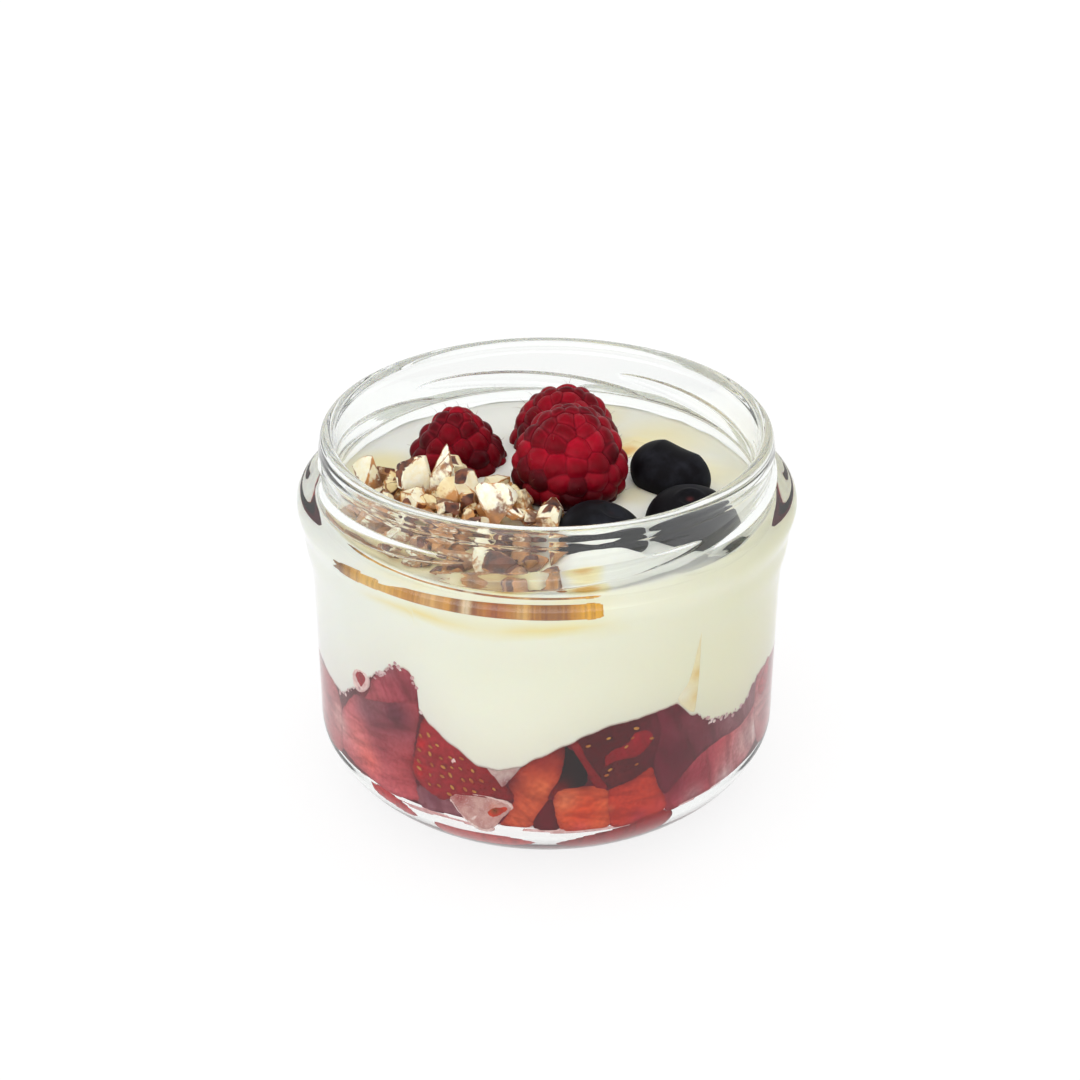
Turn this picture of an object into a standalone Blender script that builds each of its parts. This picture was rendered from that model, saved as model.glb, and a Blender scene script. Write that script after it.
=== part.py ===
"""Jar of fruit mascarpone dessert: a wide glass jar with a strawberry layer, cream, berries and chopped nuts.

Frame: metres, +Z up, origin at the centre of the jar's foot, -Y to the front.
Angles round the jar are in degrees from the front (-Y) towards the right (+X).
"""
import math
import random

import bmesh
import bpy
from mathutils import Matrix, Vector

MM = 0.001
CLEARANCE = 0.3 * MM
MERGE_DISTANCE = 0.00001
SIDES = 48

# Glass jar
JAR_HEIGHT = 68.0 * MM
NECK_RADIUS = 39.0 * MM
NECK_WALL = 2.6 * MM
RIDGE_DROP = 2.55 * MM
RIDGE_RELIEF = 0.25 * MM
BODY_RADIUS = 41.3 * MM
BODY_WALL = 2.5 * MM
SHOULDER_RADIUS = 43.5 * MM
SHOULDER_HEIGHT = 55.7 * MM
LEDGE_HEIGHT = 57.3 * MM
HEEL_WIDTH = 14.5 * MM
HEEL_HEIGHT = 12.6 * MM
HEEL_POWER = 1.55
INNER_HEEL_WIDTH = 11.0 * MM
INNER_HEEL_HEIGHT = 10.0 * MM
INNER_HEEL_POWER = 1.8
BASE_THICKNESS = 4.0 * MM
FOOT_WIDTH = 4.8 * MM
PUSH_UP = 0.8 * MM

# Thread lugs: right-handed, each one climbs to the right
LUG_COUNT = 6
LUG_FIRST_ANGLE = -28.0
LUG_SPAN = 67.0
LUG_LOW_DROP = 10.25 * MM
LUG_HIGH_DROP = 6.6 * MM
LUG_RELIEF = 1.0 * MM
LUG_WIDTH = 2.4 * MM
LUG_SINK = 0.6 * MM
LUG_END_SWELL = 0.12
LUG_STATIONS = 8

# Cream and strawberry layer; the fruit line is (angle, mm) at each turn of the boundary on the glass
CREAM_LEVEL = 54.7 * MM
CREAM_MOUND_AT = (5.0 * MM, -6.0 * MM)
CREAM_MOUND_REACH = 34.0 * MM
CREAM_MOUND_RISE = 2.6 * MM
CREAM_RINGS = (0.0, 0.5, 1.0)
STAMP_DEPTH = 5.0 * MM
LAYER_CENTRE_HEIGHT = 31.0 * MM
LAYER_RINGS = (0.0, 0.55, 0.86, 1.0)
FRUIT_LINE = (
    (-75, 31.2), (-61, 25.8), (-47, 34.0), (-37, 39.2), (-31, 33.4), (-23, 27.3), (-12, 23.3), (-3, 25.6),
    (8, 31.0), (20, 31.9), (32, 33.7), (41, 28.0), (52, 25.0), (65, 28.4), (80, 32.5), (98, 27.5),
    (118, 34.5), (136, 26.5), (158, 30.5), (180, 27.0), (203, 35.0), (224, 26.5), (246, 32.5), (266, 27.5),
)

# Strawberry heap: a plain core with cut berries fused on where they press on the glass
FRUIT_CORE_INSET = 3.0 * MM
CORE_SIDES = 24
CUT_TAPER = 0.28
CUT_SLICE = 0.22
# Angle, height, length, width (mm), lean from upright (degrees), flat side against the glass
FRONT_CUTS = (
    (-41, 30, 25, 22, 8, False), (-60, 17, 20, 17, -20, True), (-22, 23, 27, 15, -52, False),
    (-38, 13, 16, 13, 75, False), (-14, 12, 12, 10, 60, True), (-1, 21, 19, 11, 38, True),
    (16, 15, 19, 13, 90, True), (17, 27, 17, 14, 62, False), (40, 20, 25, 20, 25, False),
    (62, 18, 22, 17, 15, True),
)
BACK_CUT_COUNT = 8
BACK_CUT_ARC = (74.0, 282.0)
BACK_CUT_ROWS = (25.0, 15.0)
BACK_CUT_LENGTHS = (16.0, 22.0)
BACK_CUT_SEED = 5

# Whole berries, in mm and degrees: place across the jar, lowest point, radius or half sizes, and tilt
RASPBERRIES = {
    "raspberry_front": {"at": (3.5, -3.4), "low": 52.8, "radius": 10.5, "height": 20.3, "tip": (1.0, 3.0)},
    "raspberry_back": {"at": (3.6, 18.6), "low": 48.6, "radius": 10.4, "height": 18.0, "tip": (-3.0, -2.0)},
    "raspberry_left": {"at": (-15.3, 10.4), "low": 50.0, "radius": 9.3, "height": 16.8, "tip": (4.0, -5.0)},
}
RASPBERRY_WAIST = 0.42
RASPBERRY_TOP_TAPER = 0.1
DRUPELET_ROWS = 7
DRUPELET_PITCH = 4.3 * MM
DRUPELET_RELIEF = 0.9 * MM
BLUEBERRIES = {
    "blueberry_back": {"at": (21.5, -0.4), "low": 53.4, "half": (7.4, 5.9, 5.5), "turn": -32.0,
                       "tip": (0.0, 10.0), "pinch": 0.11},
    "blueberry_right": {"at": (23.9, -15.6), "low": 50.1, "half": (7.5, 7.3, 5.9), "turn": 10.0,
                        "tip": (14.0, -4.0), "pinch": 0.0},
    "blueberry_front": {"at": (9.1, -20.4), "low": 50.6, "half": (7.5, 7.2, 6.0), "turn": 0.0,
                        "tip": (6.0, 16.0), "pinch": 0.0},
}
WAIST_WIDTH = 0.45
CALYX_DEPTH = 0.9 * MM
CALYX_WIDTH = 0.5
POCKET_SPARE = CLEARANCE + 0.1 * MM

# Chopped nuts, in mm: mound lobes (x, y, radius), main chips (x, y, z, reach) and a scatter of small ones
NUT_LOBES = ((-25.5, -7.5, 7.5), (-18.5, -14.5, 9.0), (-10.0, -20.0, 9.0), (-4.5, -24.5, 5.5))
NUT_LOBE_HEIGHT = 4.6
MAIN_NUTS = (
    (-30.3, -0.6, 58.2, 5.0), (-22.6, -3.4, 60.4, 5.4), (-16.6, -7.6, 61.6, 5.6), (-8.2, -19.0, 59.8, 5.4),
    (-1.2, -17.4, 58.4, 4.4), (-9.4, -12.2, 59.6, 4.8), (-24.6, -21.4, 57.6, 4.8), (-11.6, -29.2, 57.6, 4.6),
    (-11.6, -6.2, 59.2, 4.8), (-5.6, -10.8, 58.4, 4.4), (-31.6, -11.0, 57.6, 4.2),
)
NUT_CHIPS = 15
NUT_CHIP_REACH = (3.2, 4.6)
NUT_CHIP_RISE = (1.6, 3.6)
NUT_SPACING = 3.4 * MM
NUT_ARC = (-95.0, 5.0)
NUT_RADII = (12.0, 34.0)
NUT_EDGE_AT = -13.0 * MM
NUT_EDGE_SLOPE = -0.52
NUT_RIGHT_EDGE = 1.0 * MM
NUT_SEED = 11


def clear_scene():
    for item in list(bpy.data.objects):
        bpy.data.objects.remove(item)


def make_collection(name):
    collection = bpy.data.collections.new(name)
    bpy.context.scene.collection.children.link(collection)
    return collection


def make_material(name, colour, roughness, transmission=0.0):
    material = bpy.data.materials.new(name)
    material.use_nodes = True
    shader = material.node_tree.nodes["Principled BSDF"]
    shader.inputs["Base Color"].default_value = (*colour, 1.0)
    shader.inputs["Roughness"].default_value = roughness
    shader.inputs["Transmission Weight"].default_value = transmission
    return material


def object_from_bmesh(name, shape, collection, material=None):
    mesh = bpy.data.meshes.new(name)
    shape.to_mesh(mesh)
    shape.free()
    if material:
        mesh.materials.append(material)
    item = bpy.data.objects.new(name, mesh)
    collection.objects.link(item)
    return item


def hide_tool(item):
    item.hide_render = True
    item.display_type = "WIRE"


def bake_modifiers(item):
    """Give the object its evaluated mesh, without the modifiers that made it."""
    graph = bpy.context.evaluated_depsgraph_get()
    graph.update()
    mesh = bpy.data.meshes.new_from_object(item.evaluated_get(graph))
    mesh.name = item.name
    item.modifiers.clear()
    item.data = mesh


def add_boolean(item, operation, tool=None, tools=None):
    boolean = item.modifiers.new(operation.title(), "BOOLEAN")
    boolean.operation = operation
    boolean.solver = "EXACT"
    if tools:
        boolean.operand_type = "COLLECTION"
        boolean.collection = tools
    else:
        boolean.object = tool


def fuse_collection(item, tools):
    """Join every object of a collection to the item, then remove them."""
    add_boolean(item, "UNION", tools=tools)
    bake_modifiers(item)
    for tool in list(tools.objects):
        bpy.data.objects.remove(tool)
    bpy.data.collections.remove(tools)


def drop_scraps(item):
    """Keep the largest connected body of the mesh and delete loose scraps."""
    shape = bmesh.new()
    shape.from_mesh(item.data)
    left = set(shape.verts)
    bodies = []
    while left:
        body = set()
        front = [left.pop()]
        while front:
            vertex = front.pop()
            body.add(vertex)
            linked = {edge.other_vert(vertex) for edge in vertex.link_edges} & left
            left -= linked
            front.extend(linked)
        bodies.append(body)
    bodies.sort(key=len)
    for body in bodies[:-1]:
        bmesh.ops.delete(shape, geom=list(body), context="VERTS")
    shape.to_mesh(item.data)
    shape.free()


def turned(name, profile, collection, material=None, sides=SIDES):
    """Turn a profile of (radius, height) points about Z; its outer side runs from top to bottom."""
    shape = bmesh.new()
    points = [shape.verts.new((radius, 0.0, height)) for radius, height in profile]
    for first, second in zip(points, points[1:]):
        shape.edges.new((first, second))
    item = object_from_bmesh(name, shape, collection, material)
    screw = item.modifiers.new("Turn", "SCREW")
    screw.axis = "Z"
    screw.angle = math.tau
    screw.steps = sides
    screw.render_steps = sides
    screw.use_merge_vertices = True
    screw.merge_threshold = MERGE_DISTANCE
    bake_modifiers(item)
    return item


def shade_round(item, sharp_degrees=40.0):
    item.data.shade_smooth()
    item.data.set_sharp_from_angle(angle=math.radians(sharp_degrees))


def place(radius, degrees, height=0.0):
    """Point at an angle round the jar, measured from the front."""
    angle = math.radians(degrees)
    return Vector((radius * math.sin(angle), -radius * math.cos(angle), height))


def angle_of(point):
    return math.degrees(math.atan2(point.x, -point.y))


def heel_curve(foot_radius, width, floor, height, power, steps):
    """Rounded heel from the wall down to the foot, both ends included."""
    curve = []
    for step in range(steps + 1):
        turn = math.pi / 2 * step / steps
        out = math.cos(turn) ** (2 / power)
        down = math.sin(turn) ** (2 / power)
        curve.append((foot_radius + width * out, floor + height * (1 - down)))
    return curve


def inner_profile():
    """Inside of the jar from its mouth down to the centre of its floor."""
    neck = NECK_RADIUS - NECK_WALL
    body = BODY_RADIUS - BODY_WALL
    shoulder = SHOULDER_HEIGHT
    wall = [
        (neck, JAR_HEIGHT - 1.8 * MM),
        (neck, shoulder + 2.7 * MM),
        (neck + 0.6 * MM, shoulder + 0.5 * MM),
        (body - 0.5 * MM, shoulder - 2.5 * MM),
        (body, shoulder - 4.7 * MM),
    ]
    foot = body - INNER_HEEL_WIDTH
    heel = heel_curve(foot, INNER_HEEL_WIDTH, BASE_THICKNESS, INNER_HEEL_HEIGHT, INNER_HEEL_POWER, 3)
    return wall + heel + [(0.0, BASE_THICKNESS)]


def inner_radius(height):
    """Radius of the jar's inside at a height above its heel."""
    profile = inner_profile()
    for (upper_radius, upper), (lower_radius, lower) in zip(profile, profile[1:]):
        if lower <= height <= upper:
            share = (height - lower) / (upper - lower)
            return lower_radius + share * (upper_radius - lower_radius)
    return NECK_RADIUS - NECK_WALL


def jar_profile():
    inside = list(reversed(inner_profile()))
    neck = NECK_RADIUS - NECK_WALL
    lip = [
        (neck + 0.4 * MM, JAR_HEIGHT - 0.5 * MM),
        (neck + 1.3 * MM, JAR_HEIGHT),
        (NECK_RADIUS - 0.4 * MM, JAR_HEIGHT - 0.5 * MM),
        (NECK_RADIUS, JAR_HEIGHT - 1.5 * MM),
    ]
    ridge = [
        (NECK_RADIUS + RIDGE_RELIEF, JAR_HEIGHT - RIDGE_DROP),
        (NECK_RADIUS, JAR_HEIGHT - RIDGE_DROP - 0.6 * MM),
    ]
    shoulder = [
        (NECK_RADIUS, LEDGE_HEIGHT + 0.9 * MM),
        (NECK_RADIUS + 0.5 * MM, LEDGE_HEIGHT + 0.1 * MM),
        (SHOULDER_RADIUS - 1.2 * MM, LEDGE_HEIGHT - 0.1 * MM),
        (SHOULDER_RADIUS - 0.3 * MM, LEDGE_HEIGHT - 0.7 * MM),
        (SHOULDER_RADIUS, SHOULDER_HEIGHT),
        (SHOULDER_RADIUS - 0.2 * MM, SHOULDER_HEIGHT - 1.3 * MM),
        (SHOULDER_RADIUS - 0.8 * MM, SHOULDER_HEIGHT - 3.5 * MM),
        (BODY_RADIUS + 0.7 * MM, SHOULDER_HEIGHT - 9.5 * MM),
        (BODY_RADIUS, SHOULDER_HEIGHT - 17.0 * MM),
    ]
    foot = BODY_RADIUS - HEEL_WIDTH
    heel = heel_curve(foot, HEEL_WIDTH, 0.0, HEEL_HEIGHT, HEEL_POWER, 5)
    base = [
        (foot - FOOT_WIDTH, 0.0),
        (foot - FOOT_WIDTH - 1.5 * MM, PUSH_UP),
        (0.0, PUSH_UP),
    ]
    return inside + lip + ridge + shoulder + heel + base


def thread_lug(name, first_angle, collection):
    """One tapered bar that climbs round the neck, sunk into the wall so that it can be fused."""
    shape = bmesh.new()
    sunk = NECK_RADIUS - LUG_SINK
    rings = []
    for station in range(LUG_STATIONS):
        share = station / (LUG_STATIONS - 1)
        swell = max(LUG_END_SWELL, abs(math.sin(math.pi * share)) ** 0.35)
        drop = LUG_LOW_DROP + share * (LUG_HIGH_DROP - LUG_LOW_DROP)
        middle = JAR_HEIGHT - drop
        degrees = first_angle + share * LUG_SPAN
        crest = NECK_RADIUS + LUG_RELIEF * swell
        half = LUG_WIDTH / 2 * swell
        section = (
            (sunk, middle + half),
            (crest, middle + 0.3 * half),
            (crest, middle - 0.3 * half),
            (sunk, middle - half),
        )
        rings.append([shape.verts.new(place(radius, degrees, height)) for radius, height in section])
    for ring, following in zip(rings, rings[1:]):
        for corner in range(4):
            after = (corner + 1) % 4
            shape.faces.new((ring[corner], ring[after], following[after], following[corner]))
    shape.faces.new(rings[0])
    shape.faces.new(rings[-1])
    bmesh.ops.recalc_face_normals(shape, faces=shape.faces)
    return object_from_bmesh(name, shape, collection)


def make_jar(parts):
    glass = make_material("glass", (0.93, 0.97, 0.95), 0.02, transmission=1.0)
    jar = turned("jar", jar_profile(), parts, glass)
    lugs = make_collection("lugs")
    for index in range(LUG_COUNT):
        thread_lug(f"lug_{index}", LUG_FIRST_ANGLE + index * 360 / LUG_COUNT, lugs)
    fuse_collection(jar, lugs)
    shade_round(jar)
    return jar


def fruit_line_height(degrees):
    """Height at which cream meets fruit on the glass, eased between the named turning points."""
    first_angle = FRUIT_LINE[0][0]
    degrees = (degrees - first_angle) % 360 + first_angle
    points = FRUIT_LINE + ((first_angle + 360, FRUIT_LINE[0][1]),)
    for (start, low), (end, high) in zip(points, points[1:]):
        if start <= degrees <= end:
            share = (degrees - start) / (end - start)
            eased = share * share * (3 - 2 * share)
            return (low + eased * (high - low)) * MM
    return FRUIT_LINE[0][1] * MM


def layer_height(point):
    """Surface between fruit and cream: wavy on the glass, calmer towards the middle."""
    share = min(1.0, math.hypot(point.x, point.y) / (BODY_RADIUS - BODY_WALL))
    weight = share ** 3
    return LAYER_CENTRE_HEIGHT + weight * (fruit_line_height(angle_of(point)) - LAYER_CENTRE_HEIGHT)


def layer_gap(point):
    """Upright gap that leaves the clearance square to the sloping surface."""
    step = 0.5 * MM
    here = layer_height(point)
    along_x = (layer_height(point + Vector((step, 0, 0))) - here) / step
    along_y = (layer_height(point + Vector((0, step, 0))) - here) / step
    return CLEARANCE * math.sqrt(1 + along_x ** 2 + along_y ** 2)


def cream_top(point):
    """Top of the cream: level on the glass, with a low mound under the berries."""
    apart = math.hypot(point.x - CREAM_MOUND_AT[0], point.y - CREAM_MOUND_AT[1])
    return CREAM_LEVEL + CREAM_MOUND_RISE * max(0.0, 1 - (apart / CREAM_MOUND_REACH) ** 2)


def uneven_layer(name, profile, surfaces, collection, material=None, sides=SIDES):
    """Turn a profile, then lay the vertices at each marked height on that height's surface.

    Bent quads are split along their shorter diagonal, so two layers made this way stay parallel.
    """
    item = turned(name, profile, collection, material, sides)
    for vertex in item.data.vertices:
        for marked_height, surface in surfaces.items():
            if abs(vertex.co.z - marked_height) < MERGE_DISTANCE:
                vertex.co.z = surface(vertex.co)
                break
    shape = bmesh.new()
    shape.from_mesh(item.data)
    bmesh.ops.triangulate(shape, faces=shape.faces[:], quad_method="SHORT_EDGE")
    shape.to_mesh(item.data)
    shape.free()
    return item


def make_cream(parts, pockets):
    ivory = make_material("cream", (0.93, 0.91, 0.78), 0.35)
    wall = BODY_RADIUS - BODY_WALL - CLEARANCE
    rim = inner_radius(CREAM_LEVEL + 1.0 * MM) - CLEARANCE
    profile = [(share * rim, CREAM_LEVEL) for share in CREAM_RINGS]
    profile += [
        (inner_radius(SHOULDER_HEIGHT - 2.5 * MM) - CLEARANCE, SHOULDER_HEIGHT - 2.5 * MM),
        (wall, SHOULDER_HEIGHT - 4.7 * MM),
    ]
    profile += [(share * wall, LAYER_CENTRE_HEIGHT) for share in reversed(LAYER_RINGS)]
    surfaces = {CREAM_LEVEL: cream_top, LAYER_CENTRE_HEIGHT: layer_height}
    cream = uneven_layer("cream", profile, surfaces, parts, ivory)
    for pocket in pockets:
        add_boolean(cream, "DIFFERENCE", tool=pocket)
    return cream


def cream_stamp(tools):
    """Block under the cream's top and its clearance, which trims what lies on the cream."""
    rim = NECK_RADIUS - NECK_WALL
    low = CREAM_LEVEL - STAMP_DEPTH
    profile = [(share * rim, CREAM_LEVEL) for share in CREAM_RINGS] + [(rim, low), (0.0, low)]
    surfaces = {CREAM_LEVEL: lambda point: cream_top(point) + CLEARANCE}
    stamp = uneven_layer("cream_stamp", profile, surfaces, tools)
    hide_tool(stamp)
    return stamp


def fruit_cavity(name, inset, collection, material=None, sides=SIDES):
    """Room under the cream, shrunk by the inset on the glass and under the cream."""
    wall = BODY_RADIUS - BODY_WALL - CLEARANCE - inset
    top = LAYER_CENTRE_HEIGHT
    floor = BASE_THICKNESS + CLEARANCE + inset / 2
    foot = BODY_RADIUS - BODY_WALL - INNER_HEEL_WIDTH - inset / 2
    heel = heel_curve(foot, wall - foot, floor, INNER_HEEL_HEIGHT, INNER_HEEL_POWER, 2)
    rings = [(share * wall, top) for share in LAYER_RINGS]
    profile = rings + heel + [(0.0, floor)]
    drop = inset + CLEARANCE / 10
    surfaces = {top: lambda point: layer_height(point) - drop - layer_gap(point)}
    return uneven_layer(name, profile, surfaces, collection, material, sides)


def slice_off(shape, point, normal):
    """Cut the shape on a plane, drop what lies beyond it and close the cut."""
    geometry = shape.verts[:] + shape.edges[:] + shape.faces[:]
    cut = bmesh.ops.bisect_plane(shape, geom=geometry, plane_co=point, plane_no=normal, clear_outer=True)
    rim = [part for part in cut["geom_cut"] if isinstance(part, bmesh.types.BMEdge)]
    bmesh.ops.edgeloop_fill(shape, edges=rim)
    bmesh.ops.recalc_face_normals(shape, faces=shape.faces)


def cut_strawberry(name, spec, collection):
    """A piece of strawberry pressed on the glass: a tapered berry with one side sliced off."""
    degrees, height, length, width, lean, flat_out = spec
    shape = bmesh.new()
    bmesh.ops.create_icosphere(shape, subdivisions=2, radius=1.0)
    for vertex in shape.verts:
        girth = width / 2 * (1 - CUT_TAPER * vertex.co.z)
        vertex.co = Vector((vertex.co.x * girth, vertex.co.y * girth * 0.9, vertex.co.z * length / 2)) * MM
    side = Vector((0, 1 if flat_out else -1, 0))
    slice_off(shape, side * CUT_SLICE * width * MM, side)
    item = object_from_bmesh(name, shape, collection)
    outward = place(1.0, degrees)
    upward = Vector((0, 0, 1))
    turn = Matrix((upward.cross(outward), outward, upward)).transposed().to_4x4()
    lean_over = Matrix.Rotation(math.radians(-lean), 4, "Y")
    sunk = (0.16 if flat_out else 0.34) * width * MM
    centre = place(inner_radius(height * MM) - sunk, degrees, height * MM)
    item.data.transform(Matrix.Translation(centre) @ turn @ lean_over)
    return item


def back_cuts():
    """Cut strawberries for the rest of the glass, in two uneven rows."""
    draw = random.Random(BACK_CUT_SEED)
    start, end = BACK_CUT_ARC
    cuts = []
    for index in range(BACK_CUT_COUNT):
        degrees = start + (end - start) * (index + 0.5) / BACK_CUT_COUNT + draw.uniform(-3, 3)
        height = BACK_CUT_ROWS[index % 2] + draw.uniform(-1.5, 1.5)
        length = draw.uniform(*BACK_CUT_LENGTHS)
        width = length * draw.uniform(0.7, 0.85)
        lean = draw.uniform(-70, 70)
        cuts.append((degrees, height, length, width, lean, draw.random() < 0.5))
    return tuple(cuts)


def make_strawberries(parts, tools):
    red = make_material("strawberry", (0.62, 0.09, 0.07), 0.4)
    heap = fruit_cavity("strawberries", FRUIT_CORE_INSET, parts, red, sides=CORE_SIDES)
    pieces = make_collection("cut_strawberries")
    for index, spec in enumerate(FRONT_CUTS + back_cuts()):
        cut_strawberry(f"cut_{index}", spec, pieces)
    fuse_collection(heap, pieces)
    room = fruit_cavity("fruit_room", 0.0, tools)
    hide_tool(room)
    add_boolean(heap, "INTERSECT", tool=room)
    bake_modifiers(heap)
    shade_round(heap, 30.0)
    return heap


def spherical(down, turn):
    """Unit direction at an angle down from +Z and a turn about it, in radians."""
    return Vector((math.sin(down) * math.cos(turn), math.sin(down) * math.sin(turn), math.cos(down)))


def drupelet_directions(radius):
    """Directions of the drupelets, in staggered rows from the tip down."""
    directions = []
    for row in range(DRUPELET_ROWS):
        down = math.pi * (row + 0.5) / DRUPELET_ROWS
        count = max(3, round(math.tau * radius * math.sin(down) / DRUPELET_PITCH))
        directions += [spherical(down, math.tau * (index + row % 2 / 2) / count) for index in range(count)]
    return directions


def drupelet_sink(way, directions, radius):
    """How far the surface sinks between drupelets in this direction."""
    nearest = max(way.dot(other) for other in directions)
    apart = math.acos(min(1.0, nearest)) * radius / (DRUPELET_PITCH / 2)
    return DRUPELET_RELIEF * (1 - math.sqrt(max(0.0, 1 - min(1.0, apart) ** 2)))


def lay(item, size, height):
    """Move a berry's mesh to its place across the jar."""
    across, along = size["at"]
    item.data.transform(Matrix.Translation((across * MM, along * MM, height)))


def tipped(size):
    about_x, about_y = (math.radians(degrees) for degrees in size["tip"])
    return Matrix.Rotation(about_x, 4, "X") @ Matrix.Rotation(about_y, 4, "Y")


def raspberry_shape(name, size, collection, material=None, pocket=False):
    """Blunt cone of drupelets; a pocket is the smooth room that it needs in the cream."""
    spare = POCKET_SPARE if pocket else 0.0
    radius = size["radius"] * MM + spare
    height = size["height"] * MM
    waist = RASPBERRY_WAIST * height
    around, down = (18, 8) if pocket else (30, 14)
    shape = bmesh.new()
    bmesh.ops.create_uvsphere(shape, u_segments=around, v_segments=down, radius=1.0)
    directions = drupelet_directions(radius)
    for vertex in shape.verts:
        way = vertex.co.normalized()
        sink = 0.0 if pocket else drupelet_sink(way, directions, radius)
        girth = (radius - sink) * (1 - RASPBERRY_TOP_TAPER * max(0.0, way.z) ** 2)
        reach = (height - waist if way.z > 0 else waist) + spare - sink
        vertex.co = Vector((way.x * girth, way.y * girth, waist + way.z * reach))
    item = object_from_bmesh(name, shape, collection, material)
    item.data.transform(tipped(size))
    lay(item, size, size["low"] * MM)
    return item


def blueberry_shape(name, size, collection, material=None, pocket=False):
    """Flattened berry with a sunk crown at its top; a pinch makes it two lobes."""
    spare = POCKET_SPARE if pocket else 0.0
    half = [value * MM + spare for value in size["half"]]
    shape = bmesh.new()
    bmesh.ops.create_uvsphere(shape, u_segments=18, v_segments=8, radius=1.0)
    for vertex in shape.verts:
        way = vertex.co.normalized()
        crown = max(0.0, 1 - math.acos(min(1.0, way.z)) / CALYX_WIDTH)
        sink = 0.0 if pocket else CALYX_DEPTH * crown
        waist = max(0.0, 1 - (way.x / WAIST_WIDTH) ** 2) * (1 + max(0.0, way.z)) / 2
        girth = 1 - size["pinch"] * waist
        vertex.co = Vector((way.x * half[0], way.y * half[1] * girth, way.z * (half[2] * girth - sink)))
    item = object_from_bmesh(name, shape, collection, material)
    item.data.transform(Matrix.Rotation(math.radians(size["turn"]), 4, "Z") @ tipped(size))
    lowest = min(vertex.co.z for vertex in item.data.vertices)
    lay(item, size, size["low"] * MM - spare - lowest)
    return item


def make_berries(parts):
    crimson = make_material("raspberry", (0.45, 0.02, 0.05), 0.45)
    navy = make_material("blueberry", (0.012, 0.014, 0.03), 0.4)
    for name, size in RASPBERRIES.items():
        shade_round(raspberry_shape(name, size, parts, crimson), 60.0)
    for name, size in BLUEBERRIES.items():
        shade_round(blueberry_shape(name, size, parts, navy), 60.0)


def berry_pockets(tools):
    """Room for each whole berry, cut from the cream and from the nuts."""
    pockets = []
    for name, size in RASPBERRIES.items():
        pockets.append(raspberry_shape(f"{name}_pocket", size, tools, pocket=True))
    for name, size in BLUEBERRIES.items():
        pockets.append(blueberry_shape(f"{name}_pocket", size, tools, pocket=True))
    for pocket in pockets:
        hide_tool(pocket)
    return pockets


def clear_of_berries(point, reach):
    """True where a chip of this reach stays clear of every whole berry."""
    for size in list(RASPBERRIES.values()) + list(BLUEBERRIES.values()):
        across, along = size["at"]
        berry = (size["radius"] if "radius" in size else size["half"][0]) * MM
        if math.hypot(point.x - across * MM, point.y - along * MM) < berry + reach + CLEARANCE:
            return False
    return True


def pull_off_glass(point, reach):
    """Move a chip towards the middle where it would reach into the glass."""
    limit = NECK_RADIUS - NECK_WALL - CLEARANCE - reach
    share = min(1.0, limit / math.hypot(point.x, point.y))
    return Vector((point.x * share, point.y * share, point.z))


def in_nut_sector(point):
    """The nuts lie in the front left of the jar, in front of the raspberries."""
    edge = NUT_EDGE_AT + NUT_EDGE_SLOPE * point.x
    return point.y < edge and point.x < NUT_RIGHT_EDGE


def nut_chip(name, point, reach, draw, collection):
    """One chopped piece: an uneven stone with a sliced face."""
    shape = bmesh.new()
    bmesh.ops.create_icosphere(shape, subdivisions=1, radius=1.0)
    for vertex in shape.verts:
        vertex.co *= draw.uniform(0.82, 1.0)
    normal = Vector((draw.uniform(-1, 1), draw.uniform(-1, 1), draw.uniform(-0.3, 1))).normalized()
    slice_off(shape, normal * 0.45, normal)
    item = object_from_bmesh(name, shape, collection)
    size = Matrix.Diagonal((reach, reach * draw.uniform(0.6, 0.8), reach * draw.uniform(0.5, 0.65), 1.0))
    turn = Matrix.Rotation(draw.uniform(0, math.tau), 4, "Z")
    tilt = Matrix.Rotation(draw.uniform(-0.7, 0.7), 4, "Y")
    item.data.transform(turn @ tilt @ size)
    lowest = min(vertex.co.z for vertex in item.data.vertices)
    height = max(point.z, cream_top(point) - lowest)
    item.data.transform(Matrix.Translation((point.x, point.y, height)))
    return item


def nut_points(draw):
    """The main chips, then an even scatter over the sector, each with its reach."""
    points = []
    for x, y, z, reach in MAIN_NUTS:
        points.append((pull_off_glass(Vector((x, y, z)) * MM, reach * MM), reach * MM))
    while len(points) < len(MAIN_NUTS) + NUT_CHIPS:
        reach = draw.uniform(*NUT_CHIP_REACH) * MM
        point = pull_off_glass(place(draw.uniform(*NUT_RADII) * MM, draw.uniform(*NUT_ARC)), reach)
        crowded = any(math.hypot(point.x - other.x, point.y - other.y) < NUT_SPACING for other, _ in points)
        if in_nut_sector(point) and clear_of_berries(point, reach) and not crowded:
            point.z = cream_top(point) + draw.uniform(*NUT_CHIP_RISE) * MM
            points.append((point, reach))
    return points


def nut_lobe(name, size, collection, material=None):
    """One half-round lobe of the mound under the chips."""
    x, y, radius = size
    shape = bmesh.new()
    bmesh.ops.create_icosphere(shape, subdivisions=2, radius=1.0)
    slice_off(shape, Vector(), Vector((0, 0, -1)))
    lobe = object_from_bmesh(name, shape, collection, material)
    spread = Matrix.Diagonal((radius * MM, radius * MM, NUT_LOBE_HEIGHT * MM, 1.0))
    lobe.data.transform(Matrix.Translation((x * MM, y * MM, CREAM_LEVEL)) @ spread)
    return lobe


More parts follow.
